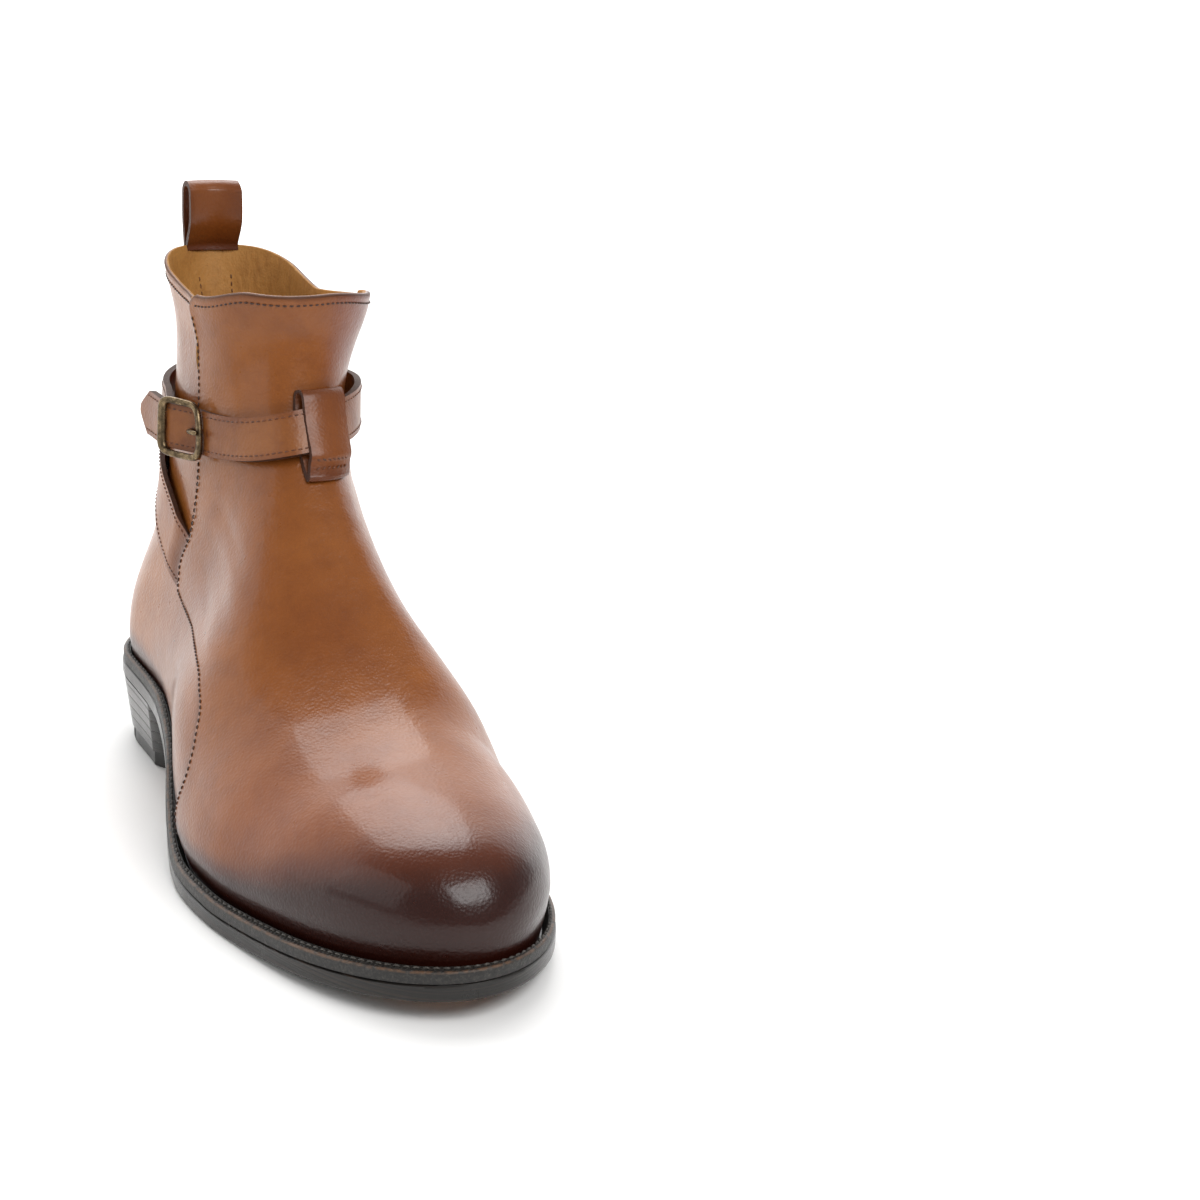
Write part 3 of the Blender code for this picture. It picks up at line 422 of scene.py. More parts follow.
def shaft_half(side, z):
    """Half-width of the heel cup and shaft."""
    return SHAFT_WIDTH * (back_value("half", z) + side * back_value("lean", z))


def closing(side, y, z):
    """0 on the silhouette of the side view and 1 well inside it."""
    place = place_of(y)
    ridge_z = np.interp(y, *VAMP_RIDGE)
    low = feather_top(y)
    depth = ridge_z - low
    widest = np.minimum(WIDEST_RISE, 0.35 * depth)
    q = np.clip((z - low - widest) / (depth - widest), 0, 1)
    power = side_value(CREST, "place", side, place)
    dome = np.maximum(1 - q**power, 0) ** (1 / power)
    shaft = ease(*SHAFT_HEIGHTS, z / COLLAR_HEIGHT)
    half_length = (back_y(z) - front_y(z)) / 2
    depth = INSTEP_DEPTH + (half_length - INSTEP_DEPTH) * shaft
    round_front = cap(ridge_distance(y, z), depth)
    instep = ease(*INSTEP_PLACES, place)
    toe = cap(y - FEATHER_TOE_Y, TOE_CAP * SOLE_LENGTH)
    heel = cap(back_y(z) - y, BACK_DEPTH * back_value("depth", z))
    return dome ** (1 - instep) * round_front**instep * toe * heel


def skin(side, y, z):
    """The x of the upper's surface on one side."""
    place = place_of(y)
    ankle = ease(*ANKLE_HEIGHTS, z / COLLAR_HEIGHT) * ease(*ANKLE_PLACES, place)
    half = foot_half(side, y, z) * (1 - ankle) + shaft_half(side, z) * ankle
    crest = BALL_WIDTH * smooth(CREST["place"], CREST["shift"], place)
    crest = crest + (SHAFT_WIDTH * back_value("lean", z) - crest) * ankle
    seam = place_of(seam_y(side, z))
    beside = ease(seam + FLARE_PLACES[0], seam + FLARE_PLACES[1], place)
    near_top = ease(*FLARE_HEIGHTS, z / COLLAR_HEIGHT) * beside
    half = half + FLAP_FLARE * near_top * (FLARE_LATERAL if side == LATERAL else 1.0)
    return crest + side * (half - side * crest) * closing(side, y, z)


def seam_y(side, z):
    """The vamp seam's y at a height."""
    return HEEL_Y - SOLE_LENGTH * side_value(SEAM, "height", side, z / COLLAR_HEIGHT)


def turn_y(t, front, seam, back):
    """The y at a turn t away from the front, where the side seam lies at 0.5 and the back at 1."""
    ahead = front + (seam - front) * (1 - np.cos(math.pi / 2 * np.minimum(t / 0.5, 1)))
    behind = seam + (back - seam) * np.sin(math.pi / 2 * np.clip(t / 0.5 - 1, 0, 1))
    return np.where(t < 0.5, ahead, behind)


def at_height(turn, z):
    """The surface point at a height. turn runs from -1 (back) by the lateral side to 0 (front), and on
    by the medial side to 1 (back again). The side seams lie at -0.5 and 0.5."""
    turn, z = np.broadcast_arrays(np.asarray(turn, float), np.asarray(z, float))
    turn = wrapped(turn)
    points = np.empty(turn.shape + (3,))
    for side in (LATERAL, MEDIAL):
        own = turn < 0 if side == LATERAL else turn >= 0
        height = z[own]
        y = turn_y(np.abs(turn[own]), front_y(height), seam_y(side, height), back_y(height))
        points[own] = np.stack([skin(side, y, height), y, height], -1)
    return points


def unit(v):
    return v / np.maximum(np.linalg.norm(v, axis=-1, keepdims=True), 1e-12)


def outward(turn, z):
    """Unit normal of the surface at a height."""
    along = at_height(turn + 0.004, z) - at_height(turn - 0.004, z)
    up = at_height(turn, z + 0.002) - at_height(turn, z - 0.002)
    return unit(np.cross(along, up))


def level_row(t):
    """The ridge point and back point of a level. t runs from 0 at the feather edge to 1 at the collar."""
    curve_y, curve_z = RIDGE_CURVE
    at = np.linspace(0, 1, len(curve_y))
    front = np.interp(t, at, curve_y), np.interp(t, at, curve_z)
    start = feather_top(np.array(back_y(feather_top(np.array(HEEL_Y)))))
    z = start + (COLLAR_HEIGHT - start) * t**BACK_LAG
    return front, (back_y(z), z)


def sheet(y, t, front, back):
    """Height of a level at y: it follows the feather edge at the sole and is straight higher up."""
    share = np.clip((y - front[0]) / (back[0] - front[0]), 0, 1)
    straight = front[1] + (back[1] - front[1]) * share
    ends = feather_top(front[0]), feather_top(back[0])
    rise = (front[1] - ends[0]) * (1 - share) + (back[1] - ends[1]) * share
    bent = 1 - ease(*BENT_LEVELS, t)
    return straight + (feather_top(y) + rise - straight) * bent


def collar_change(turn):
    """Change of the collar's height: rounded corners of the flap, and the dip behind each of them."""
    t = np.abs(turn)
    lateral = FLAP_CORNER_LATERAL * ease(*LATERAL_CORNER_TURNS, t) ** 2
    medial = FLAP_CORNER_MEDIAL * ease(*MEDIAL_CORNER_TURNS, t)
    behind = QUARTER_DROP * (1 - ease(*QUARTER_TURNS, t))
    return -np.where(t < 0.5, np.where(turn < 0, lateral, medial), behind)


def upper_points(turns, levels):
    """The upper's surface, one row for each level, with turn as in at_height."""
    turn, t = np.meshgrid(wrapped(turns), np.clip(levels, 0, 1))
    front, back = level_row(t)
    points = np.empty(turn.shape + (3,))
    for side in (LATERAL, MEDIAL):
        low, high = front[0].copy(), back[0].copy()
        for _ in range(40):
            seam = (low + high) / 2
            ahead = seam < seam_y(side, sheet(seam, t, front, back))
            low = np.where(ahead, seam, low)
            high = np.where(ahead, high, seam)
        own = turn < 0 if side == LATERAL else turn >= 0
        y = turn_y(np.abs(turn), front[0], seam, back[0])
        z = sheet(y, t, front, back)
        x = skin(side, y, z)
        z = z + collar_change(turn) * ease(*COLLAR_LEVELS, t)
        points[own] = np.stack([x, y, z], -1)[own]
    return points


def loop_normals(loop, reach=1):
    """Unit normals of a closed loop in plan, pointing outwards."""
    along = np.roll(loop, -reach, 0) - np.roll(loop, reach, 0)
    normal = unit(np.column_stack([along[:, 1], -along[:, 0]]))
    return normal * np.sign(((loop - loop.mean(0)) * normal).sum())


def rise_loop(rise, out, step=0.0, stations=SOLE_STATIONS):
    """Loop of the upper's surface at a rise over the feather edge, moved out along its normal, and by
    step more beside the raised vamp."""
    turn = np.linspace(0, math.pi, stations + 1)
    heel = back_y(feather_top(np.array(HEEL_Y)) + rise)
    y = FEATHER_TOE_Y + (heel - FEATHER_TOE_Y) * (1 + np.cos(turn)) / 2
    z = feather_top(y) + rise
    lateral = np.column_stack([skin(LATERAL, y, z), y])
    medial = np.column_stack([skin(MEDIAL, y, z), y])
    loop = np.concatenate([lateral, medial[-2:0:-1]])
    seam = min(SEAM["lateral"][0], SEAM["medial"][0])
    vamp = ease(seam - SEAM_EASE, seam, place_of(loop[:, 1]))
    return loop + (out + step * vamp)[:, None] * loop_normals(loop)


def heel_inset(z):
    """The heel's taper at a height."""
    return GAP + HEEL_TAPER * (1 - z / HEEL_HEIGHT)


def cut_loop(loop, keep_rear, clearance):
    """The part of a loop behind, or ahead of, the slanted line between the rubber and the leather."""
    slope = SPLIT_SLANT
    middle = HEEL_Y - SPLIT_PLACE * SOLE_LENGTH
    sign = 1 if keep_rear else -1
    height = sign * (loop[:, 1] - middle - slope * loop[:, 0]) - clearance / 2
    kept = []
    for k in range(len(loop)):
        n = (k + 1) % len(loop)
        if height[k] >= 0:
            kept.append(loop[k])
        if (height[k] >= 0) != (height[n] >= 0):
            share = height[k] / (height[k] - height[n])
            kept.append(loop[k] + share * (loop[n] - loop[k]))
    return np.array(kept)


def strap_height(turn):
    """Height of the strap's middle: it hangs lower on the buckle's side and higher on the medial side."""
    return STRAP_HEIGHT + STRAP_TILT * np.sin(math.pi * turn)


def strap_line():
    """Dense turns round the shaft along the strap and the arc from the buckle's middle at each."""
    turns = BUCKLE_TURN + np.linspace(-0.4, 2.4, 1401)
    points = at_height(turns, strap_height(turns))
    arc = run_length(points)
    return turns, arc - np.interp(BUCKLE_TURN, turns, arc)


STRAP_TURNS, STRAP_ARC = strap_line()
ROUND = float(np.interp(BUCKLE_TURN + 2, STRAP_TURNS, STRAP_ARC))
KEEPER_ARC = float(np.interp(KEEPER_TURN, STRAP_TURNS, STRAP_ARC))


def vamp_lift(turn):
    """How far the raised vamp stands out there, easing off behind its side seams."""
    return VAMP_STEP * ease(0.50 + SEAM_EASE, 0.50, np.abs(wrapped(turn)))


def on_shaft(middle, across, z, lift):
    """The point lift off the upper, at a height, across its surface from the turn of a middle line."""
    z, lift = np.broadcast_arrays(z, lift)
    ends = [at_height(t, z) + lift[..., None] * outward(t, z) for t in (middle - 0.02, middle + 0.02)]
    reach = np.linalg.norm(ends[1] - ends[0], axis=-1) / 0.04
    turn = middle + across / reach
    return at_height(turn, z) + (lift + vamp_lift(turn))[..., None] * outward(turn, z)


def buckle_rise(arc):
    """How far the buckle stands off behind its front bar, because it is flat and the shaft is round."""
    arc = np.where(arc > ROUND / 2, arc - ROUND, arc)
    flat = BUCKLE_FLAT * np.clip((BUCKLE_END - arc) / (2 * BUCKLE_END), 0, 1) ** 2
    fall = BUCKLE_FLAT * ease(-BUCKLE_END - BUCKLE_FALL, -BUCKLE_END, arc)
    return np.where(arc > -BUCKLE_END, flat, fall)


def strap_space(arc, up, lift):
    """The point up the strap's width and lift off the chord of the surface behind the strap."""
    arc, up, lift = np.broadcast_arrays(np.asarray(arc, float), up, lift)
    turn = np.interp(arc, STRAP_ARC, STRAP_TURNS)
    level = strap_height(turn)
    low = at_height(turn, level - STRAP_WIDTH / 2)
    high = at_height(turn, level + STRAP_WIDTH / 2)
    middle = at_height(turn, level)
    width = unit(high - low)
    normal = outward(turn, level)
    normal = unit(normal - (normal * width).sum(-1, keepdims=True) * width)
    bow = np.maximum(((middle - (low + high) / 2) * normal).sum(-1), 0)
    lift = lift + bow + vamp_lift(turn) + buckle_rise(arc)
    return (low + high) / 2 + up[..., None] * width + lift[..., None] * normal


# Lifts of the buckle's layers: the strap on the shaft, then the frame, and the strap over the keeper.
BUCKLE_END = BUCKLE_LENGTH / 2 - BUCKLE_BAR / 2
INNER_LIFT = GAP + STRAP_THICK / 2
FRAME_LIFT = INNER_LIFT + STRAP_THICK / 2 + GAP + BUCKLE_BAR / 2
KEEPER_SEAT = 2 * GAP
KEEPER_LIFT = KEEPER_SEAT + KEEPER_LEATHER + GAP + STRAP_THICK / 2


def heel_outline(inset, back_count=60, breast_count=25):
    """The heel's loop of (x, y): round the back from the lateral to the medial breast corner, then
    along the hollow breast, whose ends are bevelled."""
    breast = HEEL_Y - BREAST_PLACE * SOLE_LENGTH + inset
    turn = np.linspace(0, math.pi / 2, back_count)
    y = breast + HEEL_CORNER + (HEEL_Y - inset - breast - HEEL_CORNER) * np.sin(turn)
    lateral = np.column_stack([-sole_half(LATERAL, y, inset), y])
    medial = np.column_stack([sole_half(MEDIAL, y, inset), y])
    left = lateral[0, 0] + HEEL_CORNER * 0.6
    right = medial[0, 0] - HEEL_CORNER * 0.6
    across = np.linspace(1, -1, breast_count)
    x = (left + right) / 2 + (right - left) / 2 * across
    front = np.column_stack([x, breast + HEEL_BREAST_HOLLOW * (1 - across**2)])
    return np.concatenate([lateral, medial[-2::-1], front])


# Camera

CAMERA_AZIMUTH = -26.572
CAMERA_ELEVATION = 16.949
CAMERA_ROLL = 2.804
CAMERA_DISTANCE = 0.8637
CAMERA_TARGET = (0.1171, 0.0123, 0.07)
CAMERA_LENS = 69.15
CAMERA_SHIFT = 0.01

SHIFT = np.array([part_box("outsole")[0][0] - sole_loop()[:, 0].min(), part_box("outsole")[0][1] - TOE_Y, 0.0])


def make_camera():
    """The photograph's view: out points from the boot to the camera, and the roll turns right and up."""
    a, e, r = (math.radians(v) for v in (CAMERA_AZIMUTH, CAMERA_ELEVATION, CAMERA_ROLL))
    out = np.array([math.sin(a) * math.cos(e), -math.cos(a) * math.cos(e), math.sin(e)])
    right = np.array([math.cos(a), math.sin(a), 0.0])
    up = np.array([-math.sin(a) * math.sin(e), math.cos(a) * math.sin(e), math.cos(e)])
    place = np.array(CAMERA_TARGET) + SHIFT + CAMERA_DISTANCE * out
    columns = (right * math.cos(r) + up * math.sin(r), up * math.cos(r) - right * math.sin(r), out, place)
    camera = bpy.data.objects.new("camera", bpy.data.cameras.new("camera"))
    camera.matrix_world = Matrix([[float(c[i]) for c in columns] for i in range(3)] + [[0, 0, 0, 1]])
    camera.data.lens = CAMERA_LENS
    camera.data.shift_y = CAMERA_SHIFT
    bpy.context.scene.collection.objects.link(camera)
    bpy.context.scene.camera = camera


# Meshes

MERGE = 1e-7
PROBE = 0.001

# Stitches as (pitch, length, thickness)
UPPER_STITCH = 0.0024, 0.0018, 0.00070
LINING_STITCH = 0.0028, 0.0021, 0.0005
WELT_STITCH = 0.0031, 0.0026, 0.00085
SOLE_STITCH = 0.0034, 0.0030, 0.0007
STRAP_STITCH = 0.0024, 0.0018, 0.00052
KEEPER_STITCH = 0.0021, 0.0019, 0.0006
LOOP_STITCH = 0.0023, 0.0018, 0.0006


def grid_faces(rows, columns, close_rows=False, close_columns=False):
    """Corner indices of a grid's quads. Point (i, j) has the index i * columns + j."""
    i = np.arange(rows if close_rows else rows - 1)[:, None]
    j = np.arange(columns if close_columns else columns - 1)[None, :]
    across = (j + 1) % columns
    below = (i + 1) % rows
    corners = (i * columns + j, i * columns + across, below * columns + across, below * columns + j)
    return np.stack([np.broadcast_to(c, (i.size, j.size)) for c in corners], -1).reshape(-1, 4)


def make_piece(name, points, quads, look, slot, stands_for=(), values=None, sharp=40):
    """A closed mesh of quads on the root body. values maps an attribute's name to a number for each point.
    Points that coincide, as at a pole, are merged, and the faces are turned outwards."""
    points = np.asarray(points, float).reshape(-1, 3) + SHIFT
    mesh = bpy.data.meshes.new(name)
    mesh.vertices.add(len(points))
    mesh.vertices.foreach_set("co", points.ravel())
    mesh.loops.add(quads.size)
    mesh.loops.foreach_set("vertex_index", np.ascontiguousarray(quads, np.int32).ravel())
    mesh.polygons.add(len(quads))
    mesh.polygons.foreach_set("loop_start", np.arange(0, quads.size, 4, dtype=np.int32))
    mesh.update(calc_edges=True)
    for key, value in (values or {}).items():
        layer = mesh.attributes.new(key, "FLOAT", "POINT")
        layer.data.foreach_set("value", np.ascontiguousarray(np.broadcast_to(value, len(points)), np.float32))
    work = bmesh.new()
    work.from_mesh(mesh)
    bmesh.ops.remove_doubles(work, verts=work.verts, dist=MERGE)
    bmesh.ops.recalc_face_normals(work, faces=work.faces)
    work.to_mesh(mesh)
    work.free()
    mesh.materials.append(look)
    mesh.shade_smooth()
    mesh.set_sharp_from_angle(angle=math.radians(sharp))
    piece = bpy.data.objects.new(name, mesh)
    bpy.context.scene.collection.objects.link(piece)
    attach(piece, "root")
    if stands_for:
        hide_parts(*stands_for)
    return piece


def bar(half_width, half_thick, radius, flat=12, arc=5):
    """Section of a flat strip with round edges, as (across, out) points once round it."""
    corner = np.linspace(0, math.pi / 2, arc)
    line = np.linspace(1, -1, flat)[1:-1] * (half_width - radius)
    arcs = []
    for sx, sy, start in ((1, 1, 0), (-1, 1, 1), (-1, -1, 2), (1, -1, 3)):
        angle = corner + start * math.pi / 2
        arcs.append(np.stack([sx * (half_width - radius) + radius * np.cos(angle),
                              sy * (half_thick - radius) + radius * np.sin(angle)], 1))
    top = np.stack([line, np.full(len(line), half_thick)], 1)
    low = np.stack([-line, np.full(len(line), -half_thick)], 1)
    return np.concatenate([arcs[0], top, arcs[1], arcs[2], low, arcs[3]])


def band(name, rings, look, slot, stands_for=(), closed=False, values=None, sharp=40):
    """A solid through rings of points, as a closed ring or with both ends drawn to their middles."""
    rings = np.asarray(rings, float)
    values = {key: np.broadcast_to(value, rings.shape[:2]) for key, value in (values or {}).items()}
    if not closed:
        def middle(r):
            return np.broadcast_to(r.mean(0), r.shape)
        rings = np.concatenate([middle(rings[0])[None], rings, middle(rings[-1])[None]])
        values = {key: np.concatenate([v[:1], v, v[-1:]]) for key, v in values.items()}
    quads = grid_faces(rings.shape[0], rings.shape[1], closed, True)
    flat = {key: v.ravel() for key, v in values.items()}
    return make_piece(name, rings, quads, look, slot, stands_for, flat, sharp)


def spline(points, count, closed=False):
    """Catmull-Rom curve through points, evenly spread over its rows."""
    points = np.asarray(points, float)
    n = len(points)
    at = np.linspace(0, n if closed else n - 1, count, endpoint=not closed)
    i = np.minimum(at.astype(int), n - 1 if closed else n - 2)
    t = (at - i)[:, None]
    def row(k):
        return points[k % n] if closed else points[np.clip(k, 0, n - 1)]
    a, b, c, d = row(i - 1), row(i), row(i + 1), row(i + 2)
    return 0.5 * (2 * b + (c - a) * t + (2 * a - 5 * b + 4 * c - d) * t**2 + (3 * b - a - 3 * c + d) * t**3)


def stitch_row(path, normal, pitch, length, thick, slant=0.0):
    """Points of a row of stitches. Each is a short tube along the path, round in section, that rises in
    its middle and dips into the leather at its ends. slant turns it across the row."""
    arc = run_length(path)
    at = (np.arange(int(arc[-1] / pitch)) + 0.5) * pitch
    centre = np.stack([np.interp(at, arc, path[:, k]) for k in range(3)], 1)
    out = unit(np.stack([np.interp(at, arc, normal[:, k]) for k in range(3)], 1))
    slope = np.gradient(path, arc, axis=0)
    along = unit(np.stack([np.interp(at, arc, slope[:, k]) for k in range(3)], 1))
    side = unit(np.cross(out, along))
    along = unit(along + slant * side)
    side = unit(np.cross(out, along))
    t = np.linspace(-1, 1, 7)[None, :, None, None]
    angle = np.linspace(0, 2 * math.pi, 7)[:-1][None, None, :, None]
    radius = thick / 2 * np.sqrt(1 - t**2)
    rise = thick * (0.42 * (1 - t**2) - 0.14)
    centre, out, along, side = (v[:, None, None, :] for v in (centre, out, along, side))
    bent = centre + along * t * length / 2
    return bent + out * (rise + radius * np.cos(angle)) + side * radius * np.sin(angle)


def repeated_faces(shapes):
    """Corner indices of many tubes of the same number of rings and points."""
    count, rings, around = shapes.shape[:3]
    quads = grid_faces(rings, around, False, True)
    return (quads[None] + rings * around * np.arange(count)[:, None, None]).reshape(-1, 4)


def stitching(name, rows, look, slot):
    """One piece of several rows of stitches."""
    rows = np.concatenate(rows)
    make_piece(name, rows, repeated_faces(rows), look, slot, sharp=60)


def row_on(surface, lift, stitch, slant=0.0):
    """A row of stitches on a surface, which gives the points of its line at a lift."""
    path = surface(lift)
    return stitch_row(path, unit(surface(lift + PROBE) - path), *stitch, slant)


# Materials

# Colours
CALF_TAN = (0.185, 0.052, 0.009)
CALF_HONEY = (0.29, 0.096, 0.018)
CALF_BROWN = (0.08, 0.017, 0.0045)
CALF_RED = (0.135, 0.021, 0.005)
CALF_DARK = (0.022, 0.004, 0.002)
EDGE_DARK = (0.030, 0.011, 0.006)
LINING_OCHRE = (0.370, 0.170, 0.040)
LINING_PALE = (0.450, 0.225, 0.065)
LINING_BROWN = (0.210, 0.085, 0.022)
STRAP_TAN = (0.235, 0.08, 0.018)
STRAP_DEEP = (0.14, 0.038, 0.009)
THREAD_DARK = (0.06, 0.022, 0.01)
THREAD_BLACK = (0.030, 0.026, 0.022)
SOLE_BLACK = (0.010, 0.009, 0.008)
SOLE_EDGE = (0.045, 0.028, 0.020)
WELT_GREY = (0.060, 0.052, 0.044)
RAW_BROWN = (0.120, 0.055, 0.022)
SOLE_TAN = (0.330, 0.140, 0.055)
SOLE_ORANGE = (0.400, 0.170, 0.062)
SOLE_DEEP = (0.210, 0.075, 0.026)
TOP_COPPER = (0.330, 0.145, 0.085)
TOP_PINK = (0.390, 0.200, 0.135)
RUBBER_BLACK = (0.012, 0.012, 0.012)
RUBBER_GREY = (0.030, 0.030, 0.030)
BRASS_LIGHT = (0.270, 0.195, 0.110)
BRASS_DARK = (0.070, 0.050, 0.030)
FLOOR_PALE = (0.900, 0.895, 0.885)
FLOOR_SHADE = (0.860, 0.855, 0.850)

SOLE_BORDER = 0.0105
TOP_BORDER = 0.0042
CUT_SIDE = 0.985
PORE = 950.0


class Val:
    """A socket of a material. Arithmetic on it adds Math nodes."""

    def __init__(self, look, socket):
        self.look, self.socket = look, socket

    def __add__(self, other):
        return self.look.math("ADD", self, other)

    def __sub__(self, other):
        return self.look.math("SUBTRACT", self, other)

    def __rsub__(self, other):
        return self.look.math("SUBTRACT", other, self)

    def __mul__(self, other):
        return self.look.math("MULTIPLY", self, other)

    __radd__ = __add__
    __rmul__ = __mul__


class Look:
    """A material in the making, on Object coordinates and the piece's own attributes."""

    def __init__(self, name):
        self.material = bpy.data.materials.new(name)
        self.material.use_nodes = True
        self.tree = self.material.node_tree
        self.shader = self.tree.nodes["Principled BSDF"]
        self.place = self.node("ShaderNodeTexCoord", {}, {}, "Object")

    def node(self, kind, settings, sockets, out=0):
        """Adds a node: its settings first, then the values or links of its sockets."""
        node = self.tree.nodes.new(kind)
        for key, value in settings.items():
            setattr(node, key, value)
        for key, value in sockets.items():
            self.put(node.inputs[key], value)
        return Val(self, node.outputs[out])

    def put(self, socket, value):
        if isinstance(value, Val):
            self.tree.links.new(value.socket, socket)
        else:
            socket.default_value = value

    def math(self, operation, *values):
        return self.node("ShaderNodeMath", {"operation": operation}, dict(enumerate(values)))

    def attribute(self, name):
        return self.node("ShaderNodeAttribute", {"attribute_name": name}, {}, "Fac")

    def axis(self, name):
        return self.node("ShaderNodeSeparateXYZ", {}, {0: self.place}, name)

    def ramp(self, low, high, value):
        """0 at low and 1 at high, with level ends."""
        settings = {"interpolation_type": "SMOOTHSTEP"}
        sockets = {"Value": value, "From Min": low, "From Max": high}
        return self.node("ShaderNodeMapRange", settings, sockets)

    def stretch(self, scale):
        return self.node("ShaderNodeMapping", {}, {"Vector": self.place, "Scale": scale})

    def noise(self, scale, detail=3.0, vector=None, rough=0.5):
        sockets = {"Vector": vector or self.place, "Scale": scale, "Detail": detail, "Roughness": rough}
        return self.node("ShaderNodeTexNoise", {}, sockets, "Fac")

    def streaks(self, scales, detail, rough=0.5):
        """Noise with its own scale along each axis."""
        return self.noise(1.0, detail, self.stretch(scales), rough)

    def cells(self, scale):
        sockets = {"Vector": self.place, "Scale": scale, "Smoothness": 0.6}
        return self.node("ShaderNodeTexVoronoi", {"feature": "SMOOTH_F1"}, sockets, "Distance")

    def mix(self, factor, first, second):
        first, second = ((*c, 1) if isinstance(c, tuple) else c for c in (first, second))
        settings = {"data_type": "RGBA"}
        return self.node("ShaderNodeMix", settings, {0: factor, 6: first, 7: second}, 2)

    def bump(self, height, distance, strength=1.0, normal=None):
        sockets = {"Height": height, "Distance": distance, "Strength": strength}
        if normal:
            sockets["Normal"] = normal
        return self.node("ShaderNodeBump", {}, sockets)

    def done(self, **sockets):
        for key, value in sockets.items():
            value = (*value, 1) if isinstance(value, tuple) else value
            self.put(self.shader.inputs[key.replace("_", " ")], value)
        return self.material


def leather_grain(look, crease=None):
    """Fine pores between small smooth bumps, with a slow unevenness under them."""
    height = look.cells(PORE) * 0.8 + look.noise(PORE * 0.35, 4.0) * 0.7 + look.noise(70.0, 3.0) * 1.5
    normal = look.bump(height, 0.00016, 0.75)
    if crease:
        normal = look.bump(crease, 0.00030, 0.8, normal)
    return normal


def upper_look():
    """Burnished calf outside, with a painted shadow beside the vamp's side seams, golden lining inside and a
    dark cut edge between them.
    """
    look = Look("burnished_calf")
    burnish_and_shade, red, inside, edge = (look.attribute(n) for n in ("burnish_and_shade", "red", "inside", "edge"))
    clouds = look.noise(16.0, 4.0)
    mottle = look.noise(90.0, 5.0, rough=0.65)
    tan = look.mix(look.ramp(0.25, 0.72, clouds), CALF_TAN, CALF_HONEY)
    tan = look.mix(look.ramp(0.35, 0.80, mottle) * 0.28, tan, CALF_BROWN)
    tan = look.mix(red * look.ramp(0.15, 0.75, clouds + mottle * 0.3) * 0.9, tan, CALF_RED)
    shade = look.ramp(0.02, 1.0, burnish_and_shade + (mottle - 0.5) * 0.25 * burnish_and_shade)
    tan = look.mix(look.ramp(0.0, 0.55, shade), tan, CALF_BROWN)
    tan = look.mix(look.ramp(0.40, 1.0, shade), tan, CALF_DARK)
    tan = look.mix(edge * 0.85, tan, EDGE_DARK)
    hide = look.streaks((210.0, 210.0, 90.0), 5.0, 0.6)
    lining = look.mix(look.ramp(0.30, 0.75, look.noise(38.0, 4.0)), LINING_OCHRE, LINING_PALE)
    lining = look.mix(look.ramp(0.45, 0.75, hide) * 0.5, lining, LINING_BROWN)
    colour = look.mix(inside, tan, lining)
    crease = look.streaks((80.0, 80.0, 300.0), 4.0, 0.55) * look.attribute("crease")
    folds = hide * 2.2 * inside
    normal = leather_grain(look, crease=crease * 0.8 + folds * 2.2)
    rough = look.noise(260.0, 3.0) * 0.12 + 0.24 + inside * 0.32 + edge * 0.35
    coat = (1 - inside) * (1 - edge) * 0.26
    return look.done(Base_Color=colour, Roughness=rough, Normal=normal, Coat_Weight=coat,
                     Coat_Roughness=0.11, Specular_IOR_Level=0.26)


def strip_look(name, base, deep):
    """Calf of a cut strip: lighter in its middle, burnished beside its edges, with dark painted edges.
    The piece's attribute side is 0 in the middle of its width and 1 on its cut edges."""
    look = Look(name)
    side, burnish_and_shade = look.attribute("side"), look.attribute("burnish_and_shade")
    clouds = look.noise(45.0, 4.0)
    mottle = look.noise(190.0, 4.0, rough=0.65)
    colour = look.mix(look.ramp(0.3, 0.75, clouds * 0.7 + mottle * 0.3), base, deep)
    colour = look.mix(look.ramp(0.70, 0.98, side) * 0.55, colour, deep)
    # Darker where the piece says so: at the ends and folds of the keeper and sling, and painted shade in the
    # strap's uncut holes and on the pull loop's inner leg
    colour = look.mix(burnish_and_shade, colour, CALF_BROWN)
    cut = look.ramp(CUT_SIDE, CUT_SIDE + 0.02, side)
    colour = look.mix(cut, colour, EDGE_DARK)
    rough = look.noise(300.0, 3.0) * 0.12 + 0.30 + cut * 0.35
    return look.done(Base_Color=colour, Roughness=rough, Normal=leather_grain(look),
                     Coat_Weight=(1 - cut) * 0.16, Coat_Roughness=0.2, Specular_IOR_Level=0.3)


def thread_look(name, colour, shade):
    """Waxed thread with a fine twist."""
    look = Look(name)
    twist = look.noise(2600.0, 2.0)
    return look.done(Base_Color=look.mix(look.ramp(0.3, 0.7, look.noise(700.0, 2.0)), colour, shade),
                     Roughness=0.55, Normal=look.bump(twist, 0.00010, 0.6))


def welt_look():
    """Black inked welt, rough on top, with a thin raw brown line along its upper outer edge."""
    look = Look("welt_black")
    line = look.attribute("line") * look.ramp(0.30, 0.62, look.noise(420.0, 3.0))
    rag = look.noise(900.0, 5.0, rough=0.7)
    colour = look.mix(look.ramp(0.45, 0.8, rag), SOLE_BLACK, WELT_GREY)
    colour = look.mix(line * 0.8, colour, RAW_BROWN)
    normal = look.bump(rag, 0.00035, 0.7)
    return look.done(Base_Color=colour, Roughness=look.noise(600.0, 3.0) * 0.3 + 0.33, Normal=normal)


